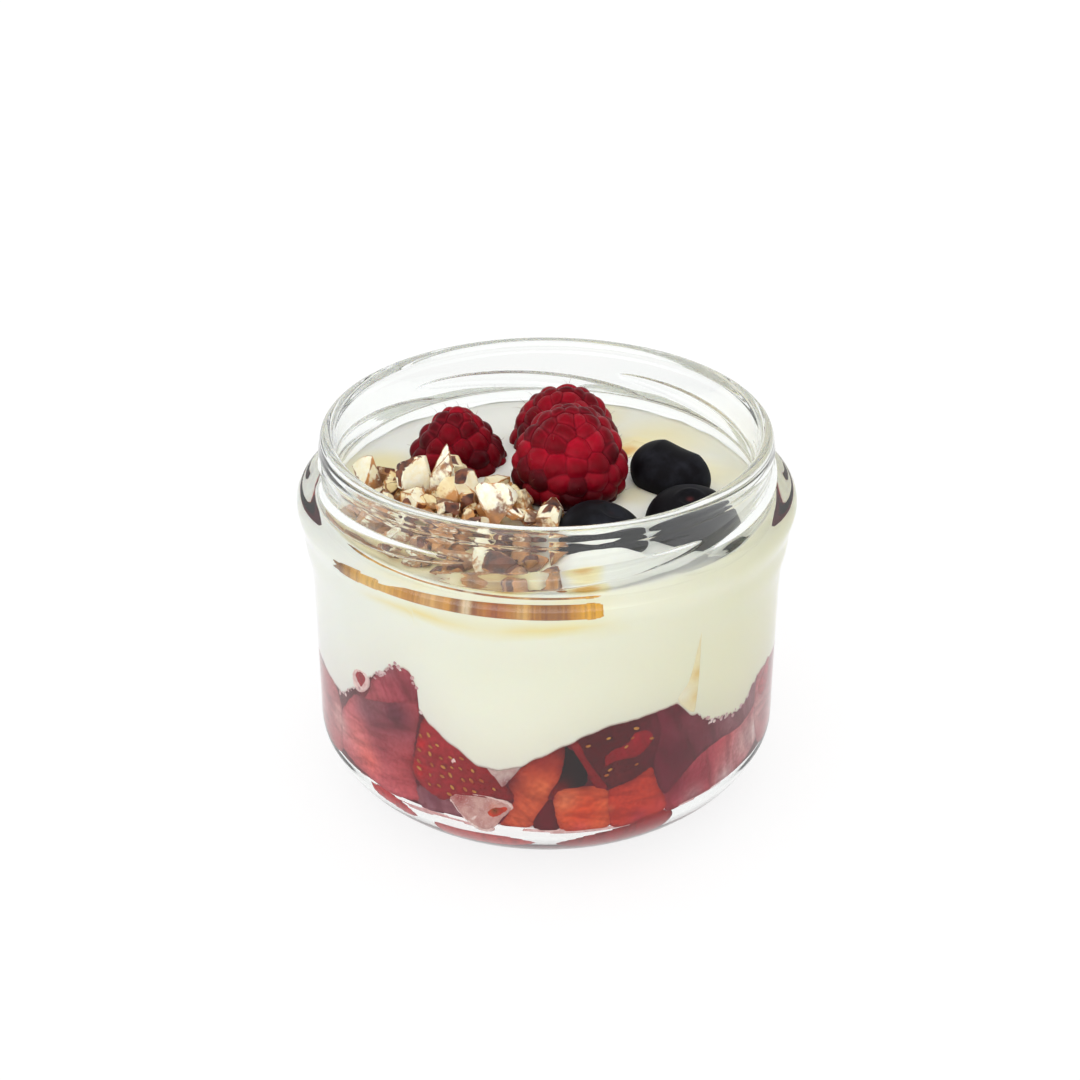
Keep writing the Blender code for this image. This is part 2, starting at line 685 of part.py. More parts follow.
def make_nuts(parts, pockets, stamp):
    """The chips are fused to the mound, then cut back from the berries and the cream that they lie on."""
    tan = make_material("nuts", (0.72, 0.55, 0.33), 0.6)
    draw = random.Random(NUT_SEED)
    heap = nut_lobe("chopped_nuts", NUT_LOBES[0], parts, tan)
    pieces = make_collection("nut_pieces")
    for index, size in enumerate(NUT_LOBES[1:]):
        nut_lobe(f"lobe_{index}", size, pieces)
    for index, (point, reach) in enumerate(nut_points(draw)):
        nut_chip(f"chip_{index}", point, reach, draw, pieces)
    fuse_collection(heap, pieces)
    for tool in pockets + [stamp]:
        add_boolean(heap, "DIFFERENCE", tool=tool)
    bake_modifiers(heap)
    drop_scraps(heap)
    return heap


def make_dessert_jar():
    clear_scene()
    parts = make_collection("fruit_mascarpone_jar")
    tools = make_collection("cutters")
    pockets = berry_pockets(tools)
    make_jar(parts)
    make_cream(parts, pockets)
    make_strawberries(parts, tools)
    make_berries(parts)
    make_nuts(parts, pockets, cream_stamp(tools))


make_dessert_jar()
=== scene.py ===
"""Looks of the jar of fruit mascarpone dessert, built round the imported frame.

Lengths are in millimetres up to the point where a mesh or a camera is placed. Angles round the jar are in
degrees from the front (-Y) towards the right (+X). A place on the glass is an angle and a height.
"""
import math
import random

import bmesh
import bpy
import numpy as np
from mathutils import Matrix, Vector, geometry, noise


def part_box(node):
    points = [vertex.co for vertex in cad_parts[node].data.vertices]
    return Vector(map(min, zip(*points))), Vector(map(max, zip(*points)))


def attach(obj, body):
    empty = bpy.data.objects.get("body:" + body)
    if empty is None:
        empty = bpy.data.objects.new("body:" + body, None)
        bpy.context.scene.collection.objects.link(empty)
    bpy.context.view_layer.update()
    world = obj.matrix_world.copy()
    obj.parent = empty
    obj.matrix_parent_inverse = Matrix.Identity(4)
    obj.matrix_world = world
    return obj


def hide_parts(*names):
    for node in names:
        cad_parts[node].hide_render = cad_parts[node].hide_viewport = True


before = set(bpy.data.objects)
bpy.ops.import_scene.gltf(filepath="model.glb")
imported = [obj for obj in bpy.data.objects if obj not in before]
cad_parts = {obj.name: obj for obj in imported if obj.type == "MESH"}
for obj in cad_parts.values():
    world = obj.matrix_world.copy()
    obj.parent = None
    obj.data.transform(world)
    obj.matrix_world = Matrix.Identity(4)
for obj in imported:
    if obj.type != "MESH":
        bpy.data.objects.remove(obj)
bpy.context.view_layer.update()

MM = 0.001


def box_mm(node):
    low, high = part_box(node)
    return np.array(low) / MM, np.array(high) / MM


# ---------------------------------------------------------------- sizes
JAR_HIGH = box_mm("jar")[1]
JAR_HEIGHT = JAR_HIGH[2]
SHOULDER_RADIUS = JAR_HIGH[0]
BERRY_TOP = box_mm("raspberry_front")[1][2]
NECK_RADIUS = 39.0
NECK_WALL = 2.6
BODY_RADIUS = 41.3
BODY_WALL = 2.5
BODY_INSIDE = BODY_RADIUS - BODY_WALL
NECK_INSIDE = NECK_RADIUS - NECK_WALL
SHOULDER_HEIGHT = 55.7
BASE_THICKNESS = 4.0
FOOT_WIDTH = 4.8
HEEL_WIDTH = 14.5
INNER_HEEL_WIDTH = 11.0
PUSH_UP = 0.8
LIP_HEIGHT = 1.7
LIP_SQUARENESS = 0.78
JAR_SIDES = 288

LUG_COUNT = 6
LUG_FIRST_ANGLE = -28.0
LUG_SPAN = 67.0
LUG_LOW_DROP = 10.25
LUG_HIGH_DROP = 6.6
LUG_RELIEF = 1.0
LUG_HALF_WIDTH = 1.6

CREAM_LEVEL = 54.7
MOUND_AT = (5.0, -6.0)
MOUND_REACH = 34.0
MOUND_RISE = 2.6
LAYER_CENTRE_HEIGHT = 31.0
CREAM_SIDES = 960
JUICE_SIDES = 480
# Millimetres along the inside of the body for each degree
ARC_MM = math.radians(BODY_INSIDE)

# How far each thing reaches into the glass, so that no air shows between them
JUICE_PRESS = 0.10
CREAM_PRESS = 0.36

# Fruit line on the glass: (angle, height) at each turn
FRUIT_LINE = (
    (-75, 27.0), (-68, 26.4), (-61, 25.9), (-54.5, 29.2), (-49, 33.2), (-43, 36.3), (-38.5, 39.0),
    (-34.5, 38.9), (-31.8, 35.6), (-31.9, 32.0), (-29, 29.6), (-23, 26.6), (-16.5, 23.6), (-11.8, 23.2),
    (-7, 24.1), (-2, 26.2), (4, 28.5), (9.5, 30.4), (15.5, 31.8), (21, 32.1), (27, 32.6), (32.2, 33.0),
    (37.2, 29.4), (45, 26.4), (51, 25.2), (56.5, 25.2), (61, 27.6), (66, 28.7), (72, 28.4), (80, 28.0),
    (98, 27.5), (118, 34.5), (136, 26.5), (158, 30.5), (180, 27.0), (203, 35.0), (224, 26.5), (246, 32.5),
    (266, 25.4),
)
# The fruit leaves the glass in the rounded heel, which starts at its top: (height, gap)
HEEL_TOP = 13.0
HEEL_GAP = ((12.2, 0.1), (11.2, 0.6), (10.0, 1.3), (8.6, 1.9), (7.2, 2.2), (5.9, 2.1), (4.9, 1.5))
# Stretches where the line is ragged: (first angle, last angle, amount)
RAGGED = ((-53.0, -33.0, 0.35), (38.0, 64.0, 0.75), (90.0, 260.0, 0.25))


# ---------------------------------------------------------------- mesh tools
def lin(red, green, blue):
    """Linear colour for a colour picked in sRGB, 0 to 255."""
    def one(value):
        value /= 255.0
        return value / 12.92 if value <= 0.04045 else ((value + 0.055) / 1.055) ** 2.4
    return (one(red), one(green), one(blue), 1.0)


def rgb(*colour):
    return np.array(lin(*colour)[:3])


def add_to_scene(name, mesh, material):
    mesh.materials.append(material)
    mesh.shade_smooth()
    item = bpy.data.objects.new(name, mesh)
    bpy.context.scene.collection.objects.link(item)
    return item


def make_object(name, points, faces, material):
    """Smooth piece from points in millimetres."""
    mesh = bpy.data.meshes.new(name)
    mesh.from_pydata((np.asarray(points, float) * MM).tolist(), [], faces)
    mesh.validate()
    return add_to_scene(name, mesh, material)


def add_pip(shape, centre, half, spin=0.0):
    """Flattened ball against the glass at centre, with half sizes across, up and outward."""
    up = Vector((0, 0, 1))
    outward = Vector((centre.x, centre.y, 0)).normalized()
    basis = Matrix((up.cross(outward), up, outward)).transposed()
    turn = Matrix.Rotation(spin, 3, "Z")
    for vertex in bmesh.ops.create_icosphere(shape, subdivisions=2, radius=1.0)["verts"]:
        local = Vector((vertex.co.x * half[0], vertex.co.y * half[1], vertex.co.z * half[2]))
        vertex.co = (centre + basis @ (turn @ local)) * MM


def finish_pips(name, shape, material):
    mesh = bpy.data.meshes.new(name)
    shape.to_mesh(mesh)
    shape.free()
    hand_over(add_to_scene(name, mesh, material), "strawberry")


def put_attribute(item, name, values):
    layer = item.data.attributes.new(name, "FLOAT", "POINT")
    layer.data.foreach_set("value", np.asarray(values, np.float32))


def put_colours(item, colours):
    layer = item.data.attributes.new("tint", "FLOAT_COLOR", "POINT")
    values = np.ones((len(colours), 4), np.float32)
    values[:, :3] = np.asarray(colours)[:, :3]
    layer.data.foreach_set("color", values.ravel())


def blend_spots(places, base, spots):
    """Colour of each flat place: the base, then each (at, reach, colour, strength) laid softly over it."""
    colours = np.tile(np.array(base[:3]), (len(places), 1))
    for at, reach, colour, strength in spots:
        apart = np.linalg.norm(places - np.array(at), axis=1) / reach
        weight = (strength * np.exp(-apart ** 2))[:, None]
        colours = colours * (1 - weight) + np.array(colour[:3]) * weight
    return colours


def hand_over(item, slot, *nodes):
    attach(item, "root")
    if nodes:
        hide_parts(*nodes)


def ring_faces(rows, columns, start):
    """Quads between closed rings of points, row by row."""
    faces = []
    for row in range(rows - 1):
        low = start + row * columns
        for column in range(columns):
            after = (column + 1) % columns
            faces.append((low + column, low + columns + column, low + columns + after, low + after))
    return faces


def capped_rings(rings):
    """Points and faces of a closed skin: rings from its first pole to its last, each pole a single point."""
    first, last = rings[0][0], rings[-1][0]
    body = np.concatenate(rings[1:-1])
    columns = len(rings[1])
    rows = len(rings) - 2
    points = np.concatenate([[first], body, [last]])
    faces = ring_faces(rows, columns, 1)
    end = len(points) - 1
    for column in range(columns):
        after = (column + 1) % columns
        faces.append((0, 1 + column, 1 + after))
        low = 1 + (rows - 1) * columns
        faces.append((end, low + after, low + column))
    return points, faces


def spline(points, step, closed=False):
    """Centripetal curve through the points, with a point about every step."""
    knots = [np.array(point, float) for point in points]
    count = len(knots)
    spans = count if closed else count - 1
    curve = []
    for index in range(spans):
        if closed:
            p0, p1, p2, p3 = (knots[(index + offset) % count] for offset in (-1, 0, 1, 2))
        else:
            p1, p2 = knots[index], knots[index + 1]
            p0 = knots[index - 1] if index > 0 else 2 * p1 - p2
            p3 = knots[index + 2] if index + 2 < count else 2 * p2 - p1
        t1 = max(np.linalg.norm(p1 - p0) ** 0.5, 1e-4)
        t2 = t1 + max(np.linalg.norm(p2 - p1) ** 0.5, 1e-4)
        t3 = t2 + max(np.linalg.norm(p3 - p2) ** 0.5, 1e-4)
        pieces = max(1, round(np.linalg.norm(p2 - p1) / step))
        for piece in range(pieces):
            t = t1 + (t2 - t1) * piece / pieces
            a1 = (t1 - t) / t1 * p0 + t / t1 * p1
            a2 = (t2 - t) / (t2 - t1) * p1 + (t - t1) / (t2 - t1) * p2
            a3 = (t3 - t) / (t3 - t2) * p2 + (t - t2) / (t3 - t2) * p3
            b1 = (t2 - t) / t2 * a1 + t / t2 * a2
            b2 = (t3 - t) / (t3 - t1) * a2 + (t - t1) / (t3 - t1) * a3
            curve.append((t2 - t) / (t2 - t1) * b1 + (t - t1) / (t2 - t1) * b2)
    if not closed:
        curve.append(knots[-1])
    return np.array(curve)


def wave(point, scale, seed=0.0):
    """Smooth noise, about -1 to 1, at a point in millimetres with features about scale across."""
    x, y, z = (value / scale for value in point)
    return noise.noise(Vector((x + seed, y - seed, z + 2 * seed)))


def around(radius, degrees, height):
    turn = np.radians(degrees)
    return np.stack([radius * np.sin(turn), -radius * np.cos(turn), height + 0 * turn], axis=-1)


def pole(height):
    """Single point on the jar's axis, which closes a skin of rings."""
    return np.array([[0.0, 0.0, height]])


def ring_angles(sides):
    return np.arange(sides) * 360 / sides


def wall_spots(spots):
    """Soft spots given as (angle, height, reach, colour, strength), laid flat along the wall."""
    return [((degrees * ARC_MM, height), reach, lin(*colour), strength)
            for degrees, height, reach, colour, strength in spots]


# ---------------------------------------------------------------- glass jar
def heel_points(foot, width, floor, height, power, steps):
    points = []
    for step in range(steps + 1):
        turn = math.pi / 2 * step / steps
        points.append((foot + width * math.cos(turn) ** (2 / power),
                       floor + height * (1 - math.sin(turn) ** (2 / power))))
    return points


def inner_curve():
    """Inside of the jar from just under its lip to the middle of its floor, as (radius, height)."""
    neck = NECK_INSIDE
    body = BODY_INSIDE
    upper = [
        (neck, JAR_HEIGHT - LIP_HEIGHT), (neck, 64.0), (neck, 61.0), (neck + 0.02, 59.2), (neck + 0.18, 57.8),
        (neck + 0.7, 56.0), (neck + 1.35, 54.6), (body - 0.5, 53.2), (body - 0.12, 52.0), (body, 50.6),
    ]
    lower = [(body, 40.0), (body, 30.0), (body, 20.0)]
    heel = heel_points(body - INNER_HEEL_WIDTH, INNER_HEEL_WIDTH, BASE_THICKNESS, 10.0, 1.8, 10)
    floor = [(18.0, BASE_THICKNESS), (8.0, BASE_THICKNESS), (0.0, BASE_THICKNESS)]
    return spline(upper + lower + heel + floor, 0.5)


def outer_curve():
    """Outside of the jar from its lip to the middle of its foot."""
    neck = NECK_RADIUS
    body = BODY_RADIUS
    widest = SHOULDER_RADIUS
    lip_bead = [
        (neck, JAR_HEIGHT - LIP_HEIGHT), (neck + 0.03, JAR_HEIGHT - 2.0), (neck + 0.25, JAR_HEIGHT - 2.55),
        (neck + 0.05, JAR_HEIGHT - 3.15), (neck, JAR_HEIGHT - 3.6),
    ]
    shoulder = [
        (neck, 62.0), (neck, 59.4), (neck + 0.12, 58.2), (neck + 0.5, 57.5), (neck + 1.3, 57.34),
        (neck + 3.1, 57.24), (neck + 3.9, 56.95), (widest - 0.2, 56.4), (widest, SHOULDER_HEIGHT),
        (widest - 0.2, 54.4), (widest - 0.8, 52.2), (42.4, 48.8), (body + 0.35, 44.6), (body + 0.06, 40.4),
    ]
    side = [(body, 36.0), (body, 26.0), (body, 18.0)]
    foot = body - HEEL_WIDTH
    heel = heel_points(foot, HEEL_WIDTH, 0.0, 12.6, 1.55, 12)
    inner_foot = foot - FOOT_WIDTH
    base = [
        (foot - 1.5, 0.0), (inner_foot, 0.0), (inner_foot - 0.6, 0.2), (inner_foot - 1.5, PUSH_UP),
        (12.0, PUSH_UP), (0.0, PUSH_UP),
    ]
    curve = spline(lip_bead + shoulder + side + heel + base, 0.45)
    curve[:, 1] = np.maximum(curve[:, 1], 0.0)
    return curve


INNER = inner_curve()
INNER_WALL = INNER[INNER[:, 1] > BASE_THICKNESS + 0.02][::-1]


def wall_radius(height):
    return np.interp(height, INNER_WALL[:, 1], INNER_WALL[:, 0])


def wall_point(degrees, height, press):
    """Point on the inside of the glass, moved into the glass by press, square to the wall."""
    height = np.asarray(height, float)
    step = 0.2
    radius = wall_radius(height)
    slope = (wall_radius(height + step) - wall_radius(height - step)) / (2 * step)
    length = np.sqrt(1 + slope ** 2)
    return around(radius + press / length, degrees, height - press * slope / length)


def lug_relief(degrees, height):
    """How far the thread stands out of the neck at a place."""
    relief = np.zeros(np.broadcast(degrees, height).shape)
    for index in range(LUG_COUNT):
        first = LUG_FIRST_ANGLE + index * 360 / LUG_COUNT
        share = ((degrees - first) % 360) / LUG_SPAN
        inside = share < 1
        swell = np.where(inside, np.sin(np.pi * np.clip(share, 0, 1)) ** 0.42, 0.0)
        middle = JAR_HEIGHT - LUG_LOW_DROP + share * (LUG_LOW_DROP - LUG_HIGH_DROP)
        apart = np.abs(height - middle) / (LUG_HALF_WIDTH * np.maximum(swell, 0.02))
        bump = LUG_RELIEF * swell * np.clip(1 - apart ** 2.6, 0, 1) ** 0.75
        relief = np.maximum(relief, np.where(inside, bump, 0.0))
    return relief


def lip_curve():
    middle = NECK_RADIUS - NECK_WALL / 2
    turns = np.linspace(math.pi, 0, 22)
    across = np.sign(np.cos(turns)) * np.abs(np.cos(turns)) ** LIP_SQUARENESS
    up = np.sin(turns) ** LIP_SQUARENESS
    return np.stack([middle + NECK_WALL / 2 * across, JAR_HEIGHT - LIP_HEIGHT + LIP_HEIGHT * up], axis=-1)


def make_jar():
    inner = INNER[::-1]
    outer = outer_curve()
    fine = []
    for first, second in zip(outer, outer[1:]):
        in_thread = 55.0 < first[1] < JAR_HEIGHT - 3.0 and first[0] < NECK_RADIUS + 0.3
        parts = max(1, math.ceil(np.linalg.norm(second - first) / (0.16 if in_thread else 0.6)))
        fine += [first + (second - first) * part / parts for part in range(parts)]
    fine.append(outer[-1])
    curve = np.concatenate([inner[:-1], lip_curve(), np.array(fine)[1:]])
    outside = np.arange(len(curve)) > len(inner) + 20
    degrees = ring_angles(JAR_SIDES)
    rings = []
    for (radius, height), out in zip(curve, outside):
        if radius < 1e-6:
            rings.append(pole(height))
            continue
        on_neck = out and 52 < height < 64 and radius < NECK_RADIUS + 0.6
        extra = lug_relief(degrees, height) if on_neck else 0.0
        rings.append(around(radius + extra, degrees, height))
    points, faces = capped_rings(rings)
    hand_over(make_object("glass_jar", points, faces, glass_material()), "glass", "jar")


# ---------------------------------------------------------------- node materials
class Paint:
    """A material with one Principled shader, and short names for the nodes that feed it."""

    def __init__(self, name, **inputs):
        self.material = bpy.data.materials.new(name)
        self.material.use_nodes = True
        self.tree = self.material.node_tree
        self.shader = self.tree.nodes["Principled BSDF"]
        for key, value in inputs.items():
            self.feed(key.replace("_", " ").title(), value)

    def feed(self, key, value):
        socket = self.shader.inputs[{"Ior": "IOR", "Specular Ior Level": "Specular IOR Level"}.get(key, key)]
        if isinstance(value, bpy.types.NodeSocket):
            self.tree.links.new(value, socket)
        else:
            socket.default_value = value

    def node(self, kind, settings=None, **sockets):
        made = self.tree.nodes.new(kind)
        for key, value in (settings or {}).items():
            setattr(made, key, value)
        for key, value in sockets.items():
            by_number = key.startswith("i")
            socket = made.inputs[int(key[1:]) if by_number else key.replace("_", " ")]
            if isinstance(value, bpy.types.NodeSocket):
                self.tree.links.new(value, socket)
            else:
                socket.default_value = value
        return made

    def coords(self, kind="Object"):
        return self.node("ShaderNodeTexCoord").outputs[kind]

    def stretched(self, source, scale):
        return self.node("ShaderNodeMapping", Vector=source, Scale=scale).outputs[0]

    def noise(self, scale, detail=3.0, source=None, distortion=0.0, rough=0.5):
        made = self.node("ShaderNodeTexNoise", Vector=source or self.coords(), Scale=scale, Detail=detail,
                         Distortion=distortion, Roughness=rough)
        return made.outputs["Fac"]

    def cells(self, scale, source):
        return self.node("ShaderNodeTexVoronoi", Vector=source, Scale=scale).outputs["Distance"]

    def tint(self):
        return self.node("ShaderNodeAttribute", {"attribute_name": "tint"}).outputs["Color"]

    def value(self, name):
        return self.node("ShaderNodeAttribute", {"attribute_name": name}).outputs["Fac"]

    def ramp(self, factor, *stops):
        made = self.node("ShaderNodeValToRGB", Fac=factor)
        elements = made.color_ramp.elements
        while len(elements) < len(stops):
            elements.new(0.5)
        for element, (at, _) in zip(elements, stops):
            element.position = at
        for element, (_, colour) in zip(elements, stops):
            element.color = colour if len(colour) == 4 else (*colour, 1.0)
        return made.outputs["Color"]

    def mix(self, factor, first, second, blend="MIX"):
        made = self.node("ShaderNodeMix", {"data_type": "RGBA", "blend_type": blend})
        for index, value in ((0, factor), (6, first), (7, second)):
            if isinstance(value, bpy.types.NodeSocket):
                self.tree.links.new(value, made.inputs[index])
            else:
                made.inputs[index].default_value = value
        return made.outputs[2]

    def multiply(self, first, second, share=1.0):
        return self.mix(share, first, second, "MULTIPLY")

    def painted_edge_shade(self, colour, reach):
        """The colour, with painted shade deepening it towards the edge of its pad."""
        shade = self.between(self.value("edge"), 0.0, reach)
        return self.mix(shade, self.multiply(colour, (0.7, 0.5, 0.55, 1.0)), colour)

    def sum(self, operation, first, second=0.5, third=0.5):
        return self.node("ShaderNodeMath", {"operation": operation}, i0=first, i1=second, i2=third).outputs[0]

    def between(self, value, low, high):
        """0 below low, 1 above high, eased between."""
        made = self.node("ShaderNodeMapRange", {"interpolation_type": "SMOOTHSTEP"}, Value=value)
        made.inputs["From Min"].default_value = low
        made.inputs["From Max"].default_value = high
        return made.outputs["Result"]

    def bump(self, height, strength, distance):
        made = self.node("ShaderNodeBump", Height=height, Strength=strength, Distance=distance * MM)
        self.feed("Normal", made.outputs["Normal"])


def glass_material():
    paint = Paint("clear_glass", base_color=(0.965, 0.985, 0.972, 1.0), roughness=0.0, ior=1.5,
                  transmission_weight=1.0, specular_ior_level=0.3)
    paint.bump(paint.noise(90.0, 1.0), 0.25, 0.05)
    return paint.material


def cream_material():
    paint = Paint("mascarpone_cream", roughness=0.42, specular_ior_level=0.15, subsurface_weight=0.2,
                  subsurface_scale=0.003, subsurface_radius=(1.0, 0.8, 0.5))
    cloudy = paint.ramp(paint.noise(26.0, 2.0), (0.3, (0.99, 0.99, 0.965)), (0.7, (1.0, 1.0, 1.0)))
    base = paint.multiply(paint.tint(), cloudy)
    honey = paint.value("honey")
    runs = paint.sum("MULTIPLY_ADD", paint.noise(90.0, 3.0), 0.5, -0.25)
    amount = paint.sum("ADD", honey, paint.sum("MULTIPLY", runs, honey))
    pale = paint.mix(paint.between(amount, 0.02, 0.5), base, lin(254, 240, 186))
    honeyed = paint.mix(paint.between(amount, 0.45, 1.0), pale, lin(238, 184, 80))
    paint.feed("Base Color", paint.mix(paint.value("fruit_edge"), honeyed, lin(206, 160, 150)))
    paint.feed("Roughness", paint.sum("MULTIPLY_ADD", honey, -0.25, 0.42))
    paint.bump(paint.noise(260.0, 3.0), 0.12, 0.4)
    return paint.material


def juice_material():
    paint = Paint("strawberry_juice", roughness=0.35, specular_ior_level=0.0)
    blotch = paint.noise(120.0, 4.0, rough=0.6)
    fine = paint.noise(520.0, 3.0)
    base = paint.ramp(blotch, (0.30, lin(70, 4, 16)), (0.52, lin(104, 14, 30)), (0.74, lin(140, 40, 52)))
    paint.feed("Base Color", paint.mix(paint.between(fine, 0.5, 0.75), base, lin(84, 8, 24)))
    return paint.material


def flesh_material():
    """Cut strawberry flesh: streaks along the piece over its own tint, with painted shade at its edges."""
    paint = Paint("strawberry_flesh", roughness=0.35, specular_ior_level=0.0)
    grain = paint.coords("UV")
    streaks = paint.noise(5.0, 4.0, paint.stretched(grain, (1.0, 0.25, 1.0)), distortion=0.6)
    lights = paint.ramp(streaks, (0.34, (0.74, 0.62, 0.64)), (0.5, (1.0, 1.0, 1.0)),
                        (0.68, (1.12, 1.35, 1.35)))
    mottle = paint.noise(12.0, 4.0, grain, rough=0.65)
    mottle = paint.ramp(mottle, (0.38, (0.82, 0.7, 0.72)), (0.6, (1.06, 1.15, 1.15)))
    colour = paint.multiply(paint.multiply(paint.tint(), lights), mottle, 0.8)
    paint.feed("Base Color", paint.painted_edge_shade(colour, 0.5))
    return paint.material


def skin_material():
    """Strawberry skin: fine mottling over its own tint, with painted shade round each seed, as if it sat in a
    hollow, and at the skin's edges.
    """
    paint = Paint("strawberry_skin", roughness=0.3, specular_ior_level=0.0)
    grain = paint.coords("UV")
    mottle = paint.noise(9.0, 5.0, grain, rough=0.65)
    mottle = paint.ramp(mottle, (0.36, (0.72, 0.6, 0.6)), (0.62, (1.15, 1.3, 1.3)))
    # Painted shade round each seed.
    seed_hollow_shade = paint.mix(paint.value("seed_pit_shade"), (1.0, 1.0, 1.0, 1.0), (0.62, 0.4, 0.4, 1.0))
    colour = paint.multiply(paint.multiply(paint.tint(), mottle), seed_hollow_shade)
    paint.feed("Base Color", paint.painted_edge_shade(colour, 0.45))
    return paint.material


def film_material(name="cream_film", depth=1.0):
    """Thin smear on the glass: pale, blotched and flecked with small bubbles, as strongly as depth says."""
    paint = Paint(name, roughness=0.4, specular_ior_level=0.1)
    grain = paint.coords("UV")
    blotch = paint.noise(7.0, 5.0, grain, rough=0.6)
    blotch = paint.ramp(blotch, (0.38, (0.86, 0.72, 0.72)), (0.6, (1.05, 1.08, 1.08)))
    colour = paint.multiply(paint.tint(), blotch, depth)
    bubbles = paint.sum("MULTIPLY", paint.between(paint.cells(34.0, grain), 0.34, 0.2), 0.35 * depth)
    paint.feed("Base Color", paint.mix(bubbles, colour, lin(250, 238, 234)))
    return paint.material


def honey_material():
    """Honey and nut crumbs pressed against the glass."""
    paint = Paint("honey_smear", roughness=0.2, specular_ior_level=0.3)
    grain = paint.coords("UV")
    crumbs = paint.ramp(paint.noise(9.0, 4.0, paint.stretched(grain, (1.0, 0.35, 1.0)), rough=0.6),
                        (0.36, (0.6, 0.48, 0.36)), (0.52, (1.0, 1.0, 1.0)), (0.68, (1.2, 1.25, 1.2)))
    paint.feed("Base Color", paint.multiply(paint.tint(), crumbs, 0.85))
    return paint.material


# ---------------------------------------------------------------- pads laid on the glass
# How far a pad's rim lies behind its face, and how far in from the rim its shade reaches
EDGE_DROP = 0.35
EDGE_REACH = 3.2


def on_wall(flat, lift):
    return wall_point(flat[:, 0] / ARC_MM, flat[:, 1], lift)


def nearest_edge(points, outline):
    """Distance from each point to a closed outline."""
    run = np.roll(outline, -1, axis=0) - outline
    square = np.maximum((run ** 2).sum(1), 1e-12)
    best = np.full(len(points), 1e9)
    for start, way, length in zip(outline, run, square):
        along = np.clip(((points - start) @ way) / length, 0, 1)
        best = np.minimum(best, np.linalg.norm(points - (start + along[:, None] * way), axis=1))
    return best


def inside_outline(points, outline):
    result = np.zeros(len(points), bool)
    x, y = points[:, 0], points[:, 1]
    for (x1, y1), (x2, y2) in zip(outline, np.roll(outline, -1, axis=0)):
        crosses = (y1 > y) != (y2 > y)
        at = (x2 - x1) * (y - y1) / (y2 - y1 + 1e-12) + x1
        result ^= crosses & (x < at)
    return result


def pad_mesh(outline, spacing):
    """Flat triangle mesh inside a smooth closed outline: points, triangles and distance to the edge."""
    outline = spline(outline, spacing * 0.8, closed=True)
    low, high = outline.min(0), outline.max(0)
    rows = np.arange(low[1], high[1], spacing * 0.87)
    grid = []
    for index, v in enumerate(rows):
        shift = spacing / 2 * (index % 2)
        grid += [(u + shift, v) for u in np.arange(low[0], high[0], spacing)]
    grid = np.array(grid)
    grid = grid[inside_outline(grid, outline)]
    grid = grid[nearest_edge(grid, outline) > spacing * 0.45]
    count = len(outline)
    edges = [(index, (index + 1) % count) for index in range(count)]
    every = [Vector(point) for point in np.concatenate([outline, grid])]
    points, _, faces = geometry.delaunay_2d_cdt(every, edges, [], 1, 1e-5)[:3]
    points = np.array([tuple(point) for point in points])
    return points, [tuple(face) for face in faces], nearest_edge(points, outline)


def make_pad(name, corners, press, depth, material, tint, spots, spacing, rounding, lean=0.0):
    """Closed pad on the inside of the glass, reaching into it by press and rounded down to its edge.

    Its corners are (angle, height). Its UV map runs along the pad, turned by lean.
    """
    outline = [(degrees * ARC_MM, height) for degrees, height in corners]
    flat, faces, apart = pad_mesh(outline, spacing)
    rim = apart < 1e-4
    round_off = np.sqrt(np.clip(1 - (1 - np.clip(apart / rounding, 0, 1)) ** 2, 0, 1))
    low = press - min(EDGE_DROP, depth)
    lift = low + (press - low) * round_off
    belly = np.clip(apart / (rounding * 1.5), 0, 1) ** 0.6
    top = on_wall(flat, lift)
    under = on_wall(flat, low - (depth - (press - low)) * belly)
    mate = np.arange(len(flat))
    mate[~rim] = len(flat) + np.arange((~rim).sum())
    points = np.concatenate([top, under[~rim]])
    whole = faces + [tuple(int(mate[corner]) for corner in reversed(face)) for face in faces]
    item = make_object(name, points, whole, material)
    # Its tint with the soft spots laid over it, many of which are painted light and painted shade.
    colours = blend_spots(flat, lin(*tint), wall_spots(spots))
    put_colours(item, np.concatenate([colours, colours[~rim]]))
    # The edge attribute sets where the painted shade towards the pad's rim falls.
    width = max(apart.max(), 1e-6)
    edge = np.clip(apart / min(width, EDGE_REACH), 0, 1)
    put_attribute(item, "edge", np.concatenate([edge, edge[~rim]]))
    turn = math.radians(lean)
    along = flat[:, 0] * math.cos(turn) + flat[:, 1] * math.sin(turn)
    across = flat[:, 1] * math.cos(turn) - flat[:, 0] * math.sin(turn)
    grain = np.stack([along, across], axis=-1) / 10
    grain = np.concatenate([grain, grain[~rim]])
    layer = item.data.uv_layers.new(name="grain")
    corners = np.zeros(len(item.data.loops), np.int32)
    item.data.loops.foreach_get("vertex_index", corners)
    layer.data.foreach_set("uv", grain[corners].astype(np.float32).ravel())
    return item, flat, apart


# ---------------------------------------------------------------- cream and strawberries
def fruit_line(degrees):
    """Height at which the cream meets the fruit on the glass."""
    first = FRUIT_LINE[0][0]
    turns = (np.asarray(degrees, float) - first) % 360 + first
    stations = np.array(FRUIT_LINE + ((first + 360, FRUIT_LINE[0][1]),))
    index = np.clip(np.searchsorted(stations[:, 0], turns, side="right") - 1, 0, len(stations) - 2)
    share = (turns - stations[index, 0]) / (stations[index + 1, 0] - stations[index, 0])
    share = share * share * (3 - 2 * share) * 0.6 + share * 0.4
    return stations[index, 1] + share * (stations[index + 1, 1] - stations[index, 1])


def ragged_line(degrees):
    heights = fruit_line(degrees)
    for index, angle in enumerate(degrees):
        angle_from = (angle + 100) % 360 - 100
        rough = 0.1
        for start, end, amount in RAGGED:
            if start < angle_from < end:
                rough = amount
        spot = around(BODY_INSIDE, angle, heights[index])
        heights[index] += rough * (wave(spot, 1.1) + 0.6 * wave(spot, 0.5, 3.0))
    return heights


